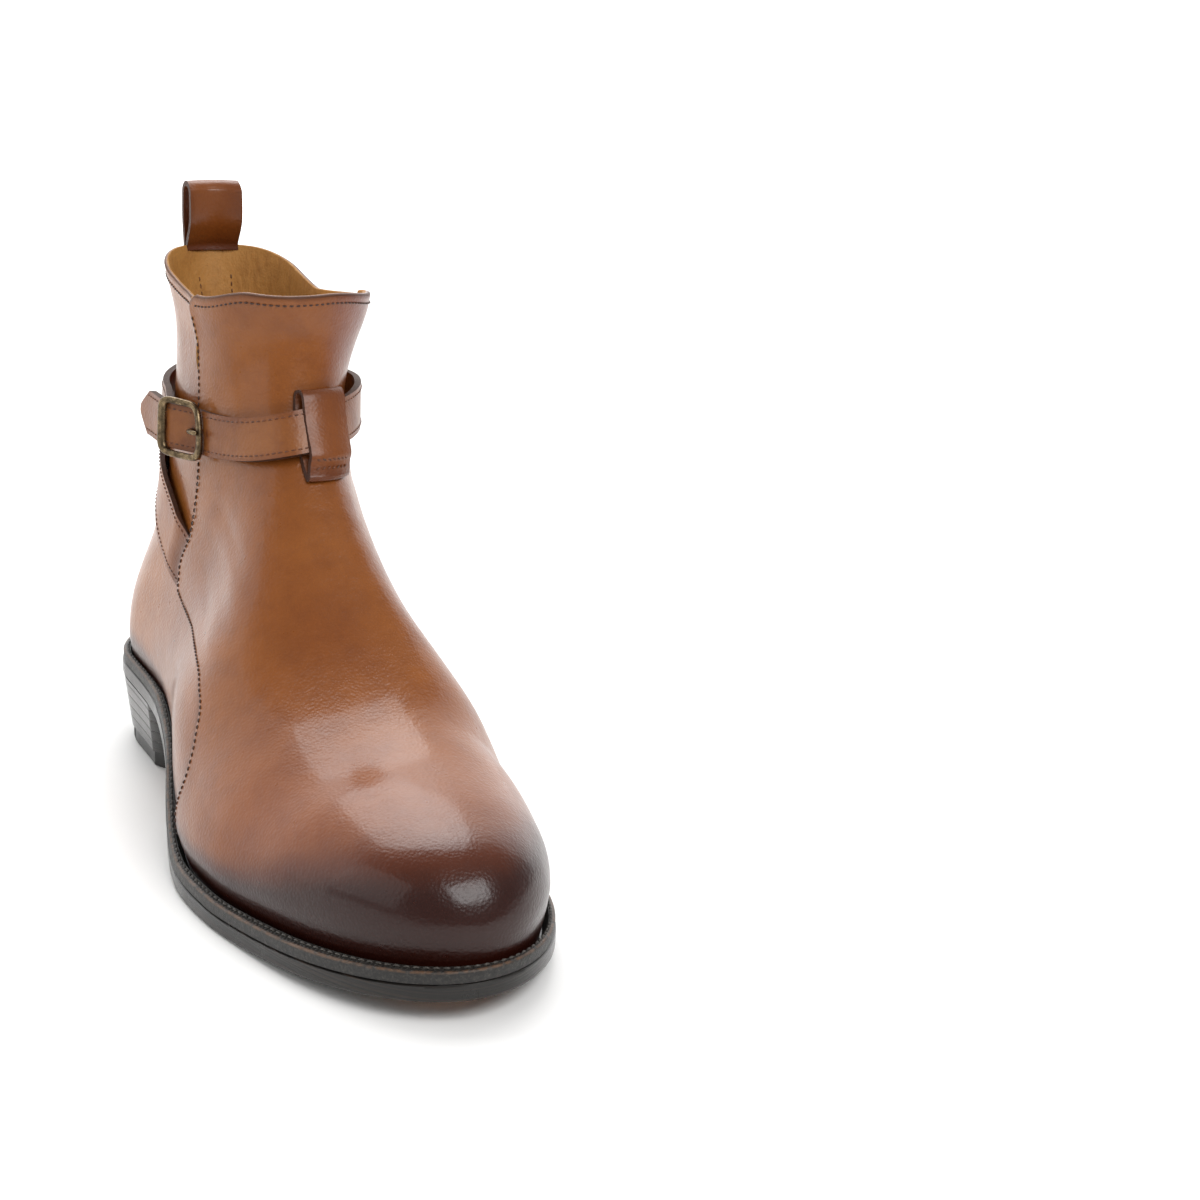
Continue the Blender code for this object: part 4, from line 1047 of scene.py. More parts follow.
def sole_look():
    """Outsole: black glossy edge with fine level lines, black border below and tan leather inside it."""
    look = Look("sole_leather")
    border, under = look.attribute("border"), look.attribute("under")
    ink = look.ramp(SOLE_BORDER, SOLE_BORDER - 0.0006, border)
    fibre = look.streaks((260.0, 900.0, 300.0), 6.0, 0.65)
    scuff = look.noise(22.0, 5.0, rough=0.6)
    tan = look.mix(look.ramp(0.30, 0.72, scuff), SOLE_TAN, SOLE_ORANGE)
    tan = look.mix(look.ramp(0.5, 0.8, fibre) * 0.45, tan, SOLE_DEEP)
    lines = look.streaks((12.0, 12.0, 2600.0), 3.0)
    edge = look.mix(look.ramp(0.45, 0.75, lines) * 0.6, SOLE_BLACK, SOLE_EDGE)
    colour = look.mix(under * (1 - ink), edge, tan)
    ribs = look.math("SINE", (look.axis("X") + look.axis("Y") * 1.1) * 5200.0) * look.attribute("ribs")
    height = lines * (1 - under) + fibre * under * 0.6 + ribs * 0.9
    rough = look.noise(120.0, 4.0) * 0.20 + 0.20 + under * 0.1
    return look.done(Base_Color=colour, Roughness=rough, Normal=look.bump(height, 0.00016, 0.7),
                     Coat_Weight=(1 - under) * 0.2, Coat_Roughness=0.15, Specular_IOR_Level=0.3)


def heel_look():
    """Stacked lifts inked black and polished: faint level lines and a waxy unevenness."""
    look = Look("heel_black")
    lines = look.streaks((10.0, 10.0, 1500.0), 3.0)
    colour = look.mix(look.ramp(0.45, 0.8, lines) * 0.7, SOLE_BLACK, SOLE_EDGE)
    rough = look.noise(140.0, 3.0) * 0.18 + 0.16
    return look.done(Base_Color=colour, Roughness=rough, Normal=look.bump(lines, 0.00014, 0.6),
                     Coat_Weight=0.2, Coat_Roughness=0.12, Specular_IOR_Level=0.3)


def top_piece_look():
    """Copper-brown leather under the heel with a black inked border."""
    look = Look("top_piece_leather")
    ink = look.ramp(TOP_BORDER, TOP_BORDER - 0.0005, look.attribute("border"))
    fibre = look.streaks((240.0, 700.0, 400.0), 5.0, 0.6)
    tan = look.mix(look.ramp(0.3, 0.75, fibre), TOP_COPPER, TOP_PINK)
    colour = look.mix(ink, tan, SOLE_BLACK)
    return look.done(Base_Color=colour, Roughness=look.noise(200.0, 3.0) * 0.2 + 0.28,
                     Normal=look.bump(fibre, 0.0001, 0.5))


def rubber_look():
    look = Look("heel_rubber_black")
    grit = look.noise(1800.0, 4.0, rough=0.7)
    return look.done(Base_Color=look.mix(look.ramp(0.4, 0.8, grit), RUBBER_BLACK, RUBBER_GREY),
                     Roughness=look.noise(500.0, 2.0) * 0.15 + 0.5, Normal=look.bump(grit, 0.0001, 0.5))


def brass_look(name, light, dark, rough):
    """Antique brass: dark, worn and brighter in places, with fine scratches."""
    look = Look(name)
    wear = look.noise(420.0, 5.0, rough=0.65)
    scratch = look.streaks((3000.0, 500.0, 500.0), 3.0)
    colour = look.mix(look.ramp(0.35, 0.7, wear), dark, light)
    return look.done(Base_Color=colour, Metallic=1.0, Roughness=look.ramp(0.3, 0.7, wear) * -0.14 + rough,
                     Normal=look.bump(scratch * 0.4 + wear, 0.00005, 0.5))


def insole_look():
    look = Look("insole_leather")
    fibre = look.noise(160.0, 5.0, rough=0.6)
    return look.done(Base_Color=look.mix(look.ramp(0.3, 0.75, fibre), LINING_OCHRE, LINING_BROWN),
                     Roughness=0.6, Normal=look.bump(fibre, 0.0002, 0.5))


def floor_look():
    look = Look("pale_floor")
    faint = look.noise(3.0, 4.0)
    return look.done(Base_Color=look.mix(faint * 0.2, FLOOR_PALE, FLOOR_SHADE), Roughness=0.55)


# Pieces

FRONT_COLUMNS = 84
REAR_COLUMNS = 64
OUTER_LEVELS = 150
INNER_LEVELS = 60
RIM_STEPS = 7
CORNER_START = 0.450
CORNER_LEAN = 0.0056
CORNER_TURNS = 0.20, 0.46

# Worn creases: (height, slope, spread, depth) beside the ankle, (height, spread, depth) across the front
SIDE_CREASES = (
    (0.112, 0.35, 0.0030, 0.00042),
    (0.101, 0.42, 0.0036, 0.00050),
    (0.091, 0.50, 0.0040, 0.00042),
    (0.122, 0.25, 0.0026, 0.00030),
)
FRONT_CREASES = (
    (0.1155, 0.0016, 0.00024),
    (0.1085, 0.0016, 0.00030),
    (0.1010, 0.0016, 0.00024),
)

# Burnish and reddening: how strong, and the limits between which each comes in along its coordinates
BURNISH = (
    (0.85, {"rise": (0.046, 0.004), "y": (-0.030, -0.135)}),
    (0.40, {"y": (-0.070, -0.140)}),
    (0.40, {"rise": (0.032, 0.000), "y": (0.060, -0.050)}),
    (0.75, {"rise": (0.020, 0.000)}),
    (0.40, {"rise": (0.045, 0.012), "x": (0.012, 0.040), "y": (0.060, -0.040)}),
    (0.22, {"rise": (0.060, 0.000), "y": (0.050, 0.130)}),
    (0.20, {"z": (0.172, 0.190)}),
)
REDDENING = (
    (1.00, {"turn": (0.10, 0.30), "z": (0.146, 0.165)}),
    (0.50, {"y": (-0.010, -0.075), "rise": (0.085, 0.030)}),
)
# Strength of the painted shadow on the quarters beside the vamp's raised side seams
SEAM_SHADOW = 0.45


def crease_relief(turn, t, points):
    """Soft troughs of a worn-in boot, in metres: slanting creases on both sides of the ankle, small ones
    across the front of the shaft under the keeper, and a slow wave over the ball."""
    y, z = points[..., 1], points[..., 2]
    side = np.abs(turn)
    relief = np.zeros_like(z)
    for height, slope, spread, depth in SIDE_CREASES:
        line = height + slope * (y - 0.055) + 0.0015 * np.sin(side * 19 + height * 900)
        here = ease(0.10, 0.30, side) * ease(0.62, 0.42, side) * ease(-0.02, 0.03, y)
        relief -= depth * here * np.exp(-((z - line) / spread) ** 2)
    for height, spread, depth in FRONT_CREASES:
        line = height + 0.0012 * np.sin(turn * 26 + height * 700)
        relief -= depth * ease(0.26, 0.10, side) * np.exp(-((z - line) / spread) ** 2)
    ball = ease(-0.02, -0.06, y) * ease(-0.12, -0.085, y)
    relief += 0.00022 * ball * np.sin((y + 0.25 * points[..., 0]) * 170)
    flap = ease(0.148, 0.162, z) * ease(0.5, 0.3, side)
    relief += 0.0004 * flap * np.sin(turn * 15 + 1.0)
    return relief


def rim_change(turn):
    """Further change of the rim's height: the flap's lateral corner is a tight round, as high as the flap
    up to a finger's width from the side seam."""
    t = np.where(turn < 0, -turn, 0.0)
    u = np.clip((t - CORNER_START) / (0.5 - CORNER_START), 0, 1)
    lean = CORNER_LEAN * ease(*CORNER_TURNS, t)
    rounded = lean + (FLAP_CORNER_LATERAL - CORNER_LEAN) * (1 - np.sqrt(1 - u**2))
    was = FLAP_CORNER_LATERAL * ease(*LATERAL_CORNER_TURNS, t) ** 2
    return np.where((t > 0) & (t < 0.5), was - rounded, 0.0)


def wall_points(turns, levels):
    """The upper's surface with the flap's corner as it is cut."""
    points = upper_points(turns, levels)
    turn, level = np.meshgrid(wrapped(turns), levels)
    points[..., 2] += rim_change(turn) * ease(*COLLAR_LEVELS, level)
    return points


def surface_normals(points):
    """Unit normals of a grid whose columns run round the boot and whose rows run upwards."""
    along = np.roll(points, -1, 1) - np.roll(points, 1, 1)
    return unit(np.cross(along, np.gradient(points, axis=0)))


def washes(rows, where):
    """The sum of a table's washes of colour, where each coordinate is given by name."""
    total = 0.0
    for strength, limits in rows:
        for name, (low, high) in limits.items():
            strength = strength * ease(low, high, where[name])
        total = total + strength
    return total


def wall_values(points, turns, cut_edge):
    """What the upper's material reads at each point: where it is lining or cut edge, how burnished and red it
    is, with a painted shadow on the quarters beside the vamp's side seams, and how creased. cut_edge is the
    share of edge on the outer skin."""
    inside = np.zeros(points.shape[:2])
    inside[OUTER_LEVELS + 4:] = 1
    edge = np.zeros_like(inside)
    edge[OUTER_LEVELS:OUTER_LEVELS + 3] = 0.9
    edge[OUTER_LEVELS - 1] = 0.45
    edge[:OUTER_LEVELS] += cut_edge
    x, y, z = np.moveaxis(points, -1, 0)
    turn = np.broadcast_to(turns[None, :], y.shape)
    where = {"x": x, "y": y, "z": z, "rise": z - feather_top(y), "turn": turn}
    side = np.abs(turns)
    burnish_and_shade = washes(BURNISH, where)
    # Painted shadow on the quarter beside the vamp's raised side seam, added to the burnish
    burnish_and_shade[:OUTER_LEVELS] += SEAM_SHADOW * np.where(side >= 0.5, np.exp(-(side - 0.5) / 0.012), 0.0)
    red = washes(REDDENING, where) + 0.35 * np.exp(-((turn - 0.16) / 0.07) ** 2) * ease(0.05, 0.09, z)
    values = {"inside": inside, "edge": np.clip(edge, 0, 1), "burnish_and_shade": np.clip(burnish_and_shade, 0, 1),
              "red": np.clip(red, 0, 1), "crease": 0.35 + ease(0.075, 0.10, z) * 0.65}
    return {key: np.ascontiguousarray(value).ravel() for key, value in values.items()}


def upper_wall():
    """The whole upper as one closed wall: the outer skin, a round rim at the collar, and the lining
    down to the feather edge. In front of the side seams the skin is raised by a leather's thickness with
    a rounded cut edge, and a small rim runs along the flap's free edge."""
    near = np.array([0.0, 0.0009, 0.0022, 0.0045, 0.009])
    fore = np.concatenate([np.linspace(0, 0.487, FRONT_COLUMNS), 0.5 - near[::-1]])
    rear = np.concatenate([0.5 + near[1:] * 1.5, np.linspace(0.516, 1, REAR_COLUMNS)])
    half = np.concatenate([fore, rear])
    turns = np.concatenate([-half[:0:-1], half[:-1]])
    levels = np.linspace(0, 1, OUTER_LEVELS)
    base = wall_points(turns, levels)
    normal = surface_normals(upper_points(turns, levels))
    side = np.abs(turns)[None, :]
    behind_edge = np.clip((0.5 - side) / 0.0045, 0, 1)
    step = np.where(side < 0.5, np.sqrt(1 - (1 - behind_edge) ** 2), 0.0)
    raised = VAMP_STEP * step * ease(*STEP_LEVELS, levels)[:, None]
    relief = crease_relief(turns[None, :], levels[:, None], base) * ease(0.02, 0.10, levels)[:, None]
    relief = relief * ease(1.0, 0.97, levels)[:, None]
    outer = base + (raised + relief)[..., None] * normal
    inner_levels = np.linspace(1, 0, INNER_LEVELS)
    def at_levels(grid):
        columns = grid.reshape(len(levels), -1).T
        return np.stack([np.interp(inner_levels, levels, c) for c in columns], 1).reshape(-1, len(turns), 3)
    inner = at_levels(base) - WALL * unit(at_levels(normal))
    inner[-1, :, 2] = base[0, :, 2]
    up = unit(base[-1] - base[-4])
    thick = (raised[-1] + WALL)[:, None]
    middle = (outer[-1] + inner[0]) / 2
    rim = []
    for share in np.linspace(0, 1, RIM_STEPS + 2)[1:-1]:
        angle = math.pi * share
        rim.append(middle + thick / 2 * (math.cos(angle) * normal[-1] + 0.55 * math.sin(angle) * up))
    points = np.concatenate([outer, np.array(rim), inner])
    bare = np.where((side < 0.5) & (behind_edge < 0.7), 1.0, 0.0) * ease(0.02, 0.08, levels)[:, None]
    quads = grid_faces(len(points), len(turns), True, True)
    flat = wall_values(points, turns, bare)
    make_piece("upper_wall", points, quads, upper_look(), "calf", ("upper",), flat, 55)


def on_upper(turn, level, lift=0.0):
    """Points and normals of the upper's raised skin along a line of turns and levels."""
    turn, level = np.broadcast_arrays(np.asarray(turn, float), np.asarray(level, float))
    def at(a, b):
        return np.einsum("iik->ik", wall_points(a, b))
    here = at(turn, level)
    along = at(turn + 0.003, level) - at(turn - 0.003, level)
    up = at(turn, np.minimum(level + 0.004, 1)) - at(turn, level - 0.004)
    normal = unit(np.cross(along, up))
    raised = VAMP_STEP * (np.abs(wrapped(turn)) < 0.499) * ease(*STEP_LEVELS, level)
    return here + (raised + lift)[:, None] * normal, normal


SEAM_ROW_INSET = 0.0072
RIM_ROW_LEVEL = 0.988
RIM_ROWS = (-0.47, 0.485, 100), (0.51, 1.49, 90)
LINING_ROW_TURN = 0.93


def upper_stitching():
    """Rows beside the vamp's side seams, along the flap's top and the quarters' rim, and in the lining."""
    rows, lining = [], []
    level = np.linspace(0.055, 0.985, 90)
    for sign in (-1, 1):
        rows.append(stitch_row(*on_upper(sign * (0.5 - SEAM_ROW_INSET), level), *UPPER_STITCH))
    for first, last, count in RIM_ROWS:
        turn = wrapped(np.linspace(first, last, count))
        rows.append(stitch_row(*on_upper(turn, RIM_ROW_LEVEL), *UPPER_STITCH))
    level = np.linspace(0.55, 0.97, 30)
    for turn in (LINING_ROW_TURN, -LINING_ROW_TURN):
        path, normal = on_upper(turn, level, -WALL)
        lining.append(stitch_row(path, -normal, *LINING_STITCH))
    stitching("upper_stitches", rows, thread_look("dark_thread", THREAD_DARK, EDGE_DARK), "calf")
    stitching("lining_stitches", lining, thread_look("lining_thread", LINING_BROWN, THREAD_DARK), "calf")


WELT_STATIONS = 1150
FUDGE_PITCH = 0.0017
FUDGE_DEPTH = 0.00022
WELT_SHARES = 0.0, 0.10, 0.22, 0.36, 0.52, 0.68, 0.84, 0.95, 1.0


def welt_strip():
    """The welt: its outer side, a top crossed by small ridges as the fudge wheel leaves them, and its
    inner side against the upper. The ridges follow the length along the outline."""
    low = OUTSOLE_THICK + GAP
    high = low + WELT_THICK
    def ring(inset, lift):
        loop = sole_loop(inset, WELT_STATIONS)
        return np.column_stack([loop, underside(loop[:, 1]) + lift])
    def inner(lift):
        step = VAMP_STEP * (lift - low) / WELT_THICK
        loop = rise_loop(lift - low, 2 * GAP, step, WELT_STATIONS)
        return np.column_stack([loop, underside(loop[:, 1]) + lift])
    brow, foot = ring(GAP + EDGE_ROUND, high), inner(high)
    step = np.linalg.norm(np.diff(brow, axis=0, append=brow[:1]), axis=1)
    length = np.concatenate([[0], np.cumsum(step)[:-1]])
    pitch = step.sum() / round(step.sum() / FUDGE_PITCH)
    ridge = 0.5 + 0.5 * np.cos(2 * math.pi * length / pitch)
    rings = [ring(GAP, low), ring(GAP, low + WELT_THICK * 0.35), ring(GAP, high - EDGE_ROUND),
             ring(GAP + EDGE_ROUND * 0.3, high - EDGE_ROUND * 0.3)]
    line = [0, 0, 0, 1.0]
    for share in WELT_SHARES:
        top = brow + (foot - brow) * share
        crossed = ease(0.02, 0.16, share) * ease(0.86, 0.60, share)
        top[:, 2] += FUDGE_DEPTH * (ridge * crossed - 0.4 * (0 < share < 1))
        rings.append(top)
        line.append(0.6 if share == 0 else 0.0)
    rings.append(inner(low))
    line.append(0)
    rings = np.array(rings)
    values = {"line": np.broadcast_to(np.array(line, float)[:, None], rings.shape[:2]).ravel()}
    quads = grid_faces(len(rings), rings.shape[1], True, True)
    make_piece("welt_strip", rings, quads, welt_look(), "welt", ("welt",), values, 50)
    middle = brow + (foot - brow) * 0.50
    middle = np.concatenate([middle, middle[:1]])
    middle[:, 2] += 0.00010
    upward = np.broadcast_to(np.array([0.0, 0, 1]), middle.shape)
    keep = np.linalg.norm(np.diff(middle, axis=0, prepend=middle[:1] - 1), axis=1) > 1e-9
    rows = [stitch_row(middle[keep], upward[keep], *WELT_STITCH)]
    stitching("welt_stitches", rows, thread_look("welt_thread", THREAD_BLACK, WELT_GREY), "welt")


SOLE_ROWS = 420
UNDER_COLUMNS = 70


def outsole_plate():
    """The outsole as closed cross-sections from toe to heel: underside, rounded lower edge, side and top."""
    turn = np.linspace(0.004, math.pi - 0.004, SOLE_ROWS)
    y = SOLE_LENGTH / 2 * np.cos(turn)
    lateral, medial = -sole_half(LATERAL, y), sole_half(MEDIAL, y)
    ground = underside(y)
    r = EDGE_ROUND
    share = (1 - np.cos(np.linspace(0, math.pi, UNDER_COLUMNS))) / 2
    def line(x, z):
        return np.stack([x, y, ground + z], 1)
    width = medial - lateral
    room = np.minimum(r, width / 4)
    top = OUTSOLE_THICK
    walls = np.linspace(0.0015, top - r / 2, 5)
    corners = [(math.sin(a), r * (1 - math.cos(a))) for a in np.radians((30, 60, 90))]
    columns = [line(lateral + room + (width - 2 * room) * s, 0.0) for s in share]
    columns += [line(medial - room + room * out, z) for out, z in corners]
    columns += [line(medial, z) for z in walls]
    columns += [line(lateral + room + (width - 2 * room) * s, top) for s in np.linspace(1, 0, 8)]
    columns += [line(lateral, z) for z in walls[::-1]]
    columns += [line(lateral + room - room * out, z) for out, z in corners[::-1]]
    points = np.stack(columns, 1)
    border = distance_to(points, sole_loop(0, 500))
    under = np.broadcast_to(np.arange(len(columns)) < UNDER_COLUMNS, points.shape[:2]).astype(float)
    breast = HEEL_Y - BREAST_PLACE * SOLE_LENGTH
    ahead = breast - points[..., 1]
    ribs = under * ease(0.001, 0.003, ahead) * ease(0.017, 0.015, ahead) * ease(0.010, 0.012, border)
    band("outsole_plate", points, sole_look(), "sole_leather", ("outsole",),
         values={"border": border, "under": under, "ribs": ribs}, sharp=50)
    path = sole_loop(SOLE_BORDER + 0.0008, 400)
    path = path[path[:, 1] < breast - 0.004]
    cut = np.argmax(np.linalg.norm(np.diff(path, axis=0), axis=1)) + 1
    path = np.roll(path, -cut, axis=0)
    path = np.column_stack([path, underside(path[:, 1]) + 0.00042])
    down = np.broadcast_to(np.array([0.0, 0, -1]), path.shape)
    rows = [stitch_row(path, down, *SOLE_STITCH, slant) for slant in (0.55, -0.55)]
    stitching("sole_stitches", rows, thread_look("sole_thread", SOLE_DEEP, THREAD_DARK), "sole_leather")


HEEL_RINGS = 64
LIFT_PITCH = 0.0046
LIFT_GROOVE = 0.00022


def capped(rings):
    """Rings with both ends drawn inwards in steps to their middles, so that the ends are smooth faces."""
    rings = np.asarray(rings, float)
    def face(ring, shares):
        middle = ring.mean(0)
        return [middle + (ring - middle) * s for s in shares]
    shares = 0.0, 0.4, 0.8, 0.97
    return np.array(face(rings[0], shares) + list(rings) + face(rings[-1], shares[::-1]))


def heel_block():
    """The stacked heel: rings from the top piece up to the outsole, a fine groove between its lifts."""
    rings = []
    base = TOP_PIECE_THICK + GAP
    for share in np.linspace(0, 1, HEEL_RINGS):
        z = base + (HEEL_HEIGHT - base) * share
        groove = LIFT_GROOVE * np.exp(-(((z - base) / LIFT_PITCH + 0.5) % 1 - 0.5) ** 2 / 0.0025)
        loop = heel_outline(heel_inset(z) + groove * (0.02 < share < 0.98))
        height = base + (underside(loop[:, 1]) - GAP - base) * share
        rings.append(np.column_stack([loop, height]))
    rings = capped(rings)
    quads = grid_faces(len(rings), rings.shape[1], False, True)
    make_piece("heel_block", rings, quads, heel_look(), "heel_leather", ("heel_stack",), None, 45)


def distance_to(points, loop, chunk=2000):
    """Distance in plan from each point to the nearest of a loop's points."""
    flat = points.reshape(-1, points.shape[-1])[:, None, :2]
    parts = np.split(flat, range(chunk, len(flat), chunk))
    nearest = [np.sqrt(((part - loop[None]) ** 2).sum(-1).min(1)) for part in parts]
    return np.concatenate(nearest).reshape(points.shape[:-1])


def even_loop(loop, count):
    """A closed loop's points spread evenly along it."""
    closed = np.concatenate([loop, loop[:1]])
    arc = run_length(closed)
    at = np.linspace(0, arc[-1], count, endpoint=False)
    return np.stack([np.interp(at, arc, closed[:, k]) for k in range(2)], 1)


RUBBER_RIB = 0.0013
RUBBER_RIB_DEPTH = 0.00035


def top_pieces():
    """The leather top piece and the rubber quarter, cut along one slanted line, and the nails in the
    leather. The rubber's round edge has small upright ribs."""
    outline = heel_outline(heel_inset(EDGE_ROUND), 200, 60)
    for name, node, keep_rear, look, slot in (
        ("top_piece", "heel_top_piece", False, top_piece_look(), "top_piece_leather"),
        ("rubber_quarter", "heel_rubber", True, rubber_look(), "heel_rubber"),
    ):
        loop = even_loop(cut_loop(outline, keep_rear, GAP), 720)
        normal = loop_normals(loop, 2)
        rib = 0.0
        if keep_rear:
            arc = np.arange(len(loop)) * np.linalg.norm(loop[1] - loop[0])
            round_part = distance_to(loop, outline) < 0.0004
            rib = RUBBER_RIB_DEPTH * (0.5 - 0.5 * np.cos(2 * math.pi * arc / RUBBER_RIB)) * round_part
        rings = []
        for z, inset in ((0.0, EDGE_ROUND), (EDGE_ROUND * 0.3, EDGE_ROUND * 0.3), (EDGE_ROUND, 0.0),
                         (TOP_PIECE_THICK / 2, 0.0), (TOP_PIECE_THICK, 0.0)):
            ring = loop - (inset + rib * (z > 0) + np.zeros(len(loop)))[:, None] * normal
            rings.append(np.column_stack([ring, np.full(len(ring), z)]))
        rings = np.array(rings)
        under = [rings[0].mean(0) + (rings[0] - rings[0].mean(0)) * s for s in np.linspace(0, 1, 26)[:-1]]
        rings = np.concatenate([np.array(under), rings, [rings[-1].mean(0) + 0 * rings[-1]]])
        border = distance_to(rings, outline[::3]).ravel()
        quads = grid_faces(len(rings), rings.shape[1], False, True)
        make_piece(name, rings, quads, look, slot, (node,), {"border": border}, 45)
    breast = HEEL_Y - BREAST_PLACE * SOLE_LENGTH
    half = sole_half(MEDIAL, np.array(breast + 0.012))
    spots = []
    for sign in (-1, 1):
        for across, back in ((0.0, 0.010), (0.0055, 0.0125), (0.001, 0.0165)):
            spots.append((sign * (half - 0.011 - across), breast + back))
        middle = HEEL_Y - SPLIT_PLACE * SOLE_LENGTH + SPLIT_SLANT * sign * (half - 0.010)
        spots.append((sign * (half - 0.010), middle - 0.0035))
    angle = np.linspace(0, 2 * math.pi, 11)[:-1]
    profile = ((0.0, -0.00012), (0.00045, -0.00012), (0.00075, -0.00004), (0.00080, 0.0005), (0.0, 0.0005))
    def ring(x, y, r, z):
        return np.column_stack([x + r * np.cos(angle), y + r * np.sin(angle), np.full(len(angle), z)])
    heads = np.array([[ring(x, y, r, z) for r, z in profile] for x, y in spots])
    heads[..., 2] += 0.00012
    nail = brass_look("nail_steel", (0.32, 0.30, 0.28), (0.10, 0.09, 0.08), 0.45)
    make_piece("heel_nails", heads, repeated_faces(heads), nail, "top_piece_leather", (), None, 50)


STITCH_INSET = 0.0018
REAR_HOLE = -0.0072
PRONG_HOLE = 0.0034
FRONT_HOLE = 0.0112
BELT_WIDTH = 0.0160
KEEPER_HALF = 0.00058
KEEPER_SPAN = 0.0175
SLING_ROW = 0.82
FRAME_HALF_HEIGHT = 0.0096
FRAME_HALF_LENGTH = 0.0075
STRAP_ROWS = 460
TIP_LIFT = INNER_LIFT + STRAP_THICK + GAP


def belt_lift(arc):
    """Lift of the belt's middle: over its anchored end and under both bars of the frame at its tip, on
    the shaft, over the keeper's back, and standing off at the back. A cubic joins the places."""
    side = INNER_LIFT + STRAP_STAND_OFF
    anchored = ROUND - BUCKLE_END
    stops = (
        (-BUCKLE_END - STRAP_TIP, TIP_LIFT + TIP_STAND_OFF * 0.8),
        (-BUCKLE_END - STRAP_TIP * 0.5, TIP_LIFT + TIP_STAND_OFF * 0.22),
        (-BUCKLE_END - BUCKLE_BAR, TIP_LIFT),
        (-BUCKLE_END + BUCKLE_BAR, TIP_LIFT),
        (BUCKLE_END - BUCKLE_BAR, INNER_LIFT),
        (BUCKLE_END + BUCKLE_BAR, INNER_LIFT),
        ((BUCKLE_END + KEEPER_ARC) / 2, INNER_LIFT + STRAP_THICK * 0.2),
        (KEEPER_ARC - KEEPER_WIDTH / 2, KEEPER_LIFT),
        (KEEPER_ARC + KEEPER_WIDTH / 2, KEEPER_LIFT),
        (KEEPER_ARC + 0.12 * ROUND, side * 1.2),
        (KEEPER_ARC + 0.25 * ROUND, side),
        (anchored - 0.15 * ROUND, side),
        (anchored - STRAP_TIP / 3, INNER_LIFT),
        (anchored + BUCKLE_BAR, INNER_LIFT),
    )
    arcs, lifts = np.array(stops).T
    return smooth(arcs, lifts, arc)


def strap_belt():
    """The ankle strap from its pointed tip to its anchored end, and its two edge rows."""
    tip = -BUCKLE_END - STRAP_TIP
    end = ROUND - BUCKLE_END + BUCKLE_BAR / 2
    arcs = tip + (end - tip) * np.linspace(0, 1, STRAP_ROWS) ** 1.15
    point = BELT_WIDTH * 0.45
    shape = bar(1.0, STRAP_THICK / 2, STRAP_THICK * 0.42)
    across, out = shape.T
    share = np.minimum((arcs - tip) / point, 1)
    half = BELT_WIDTH / 2 * (0.06 + 0.94 * share**0.85)
    up = half[:, None] * np.clip(across, -1, 1)[None]
    lift = belt_lift(arcs)[:, None] + out[None] * ease(0.0, 0.4, share + 0.3)[:, None]
    rings = strap_space(arcs[:, None], up, lift)
    side = np.broadcast_to(np.abs(across)[None], up.shape)
    # The holes are not cut: a painted shade stands for each one, carried in the burnish attribute
    near_hole = np.zeros(up.shape)
    for hole in (REAR_HOLE, PRONG_HOLE, FRONT_HOLE):
        near_hole += np.exp(-(((arcs[:, None] - hole) ** 2 + up**2) / 0.0010**2) ** 2)
    burnish_and_shade = np.clip(near_hole * (arcs < ROUND / 2)[:, None], 0, 1)
    values = {"side": side, "burnish_and_shade": burnish_and_shade}
    band("strap_belt", rings, STRAP_LOOK, "strap_leather", ("ankle_strap",), values=values)
    arc = np.linspace(tip + point * 0.8, end - 0.001, 700)
    edge = BELT_WIDTH / 2 - STITCH_INSET
    level = belt_lift(arc) + STRAP_THICK / 2
    return [row_on(lambda lift: strap_space(arc, up, lift), level, STRAP_STITCH) for up in (-edge, edge)]


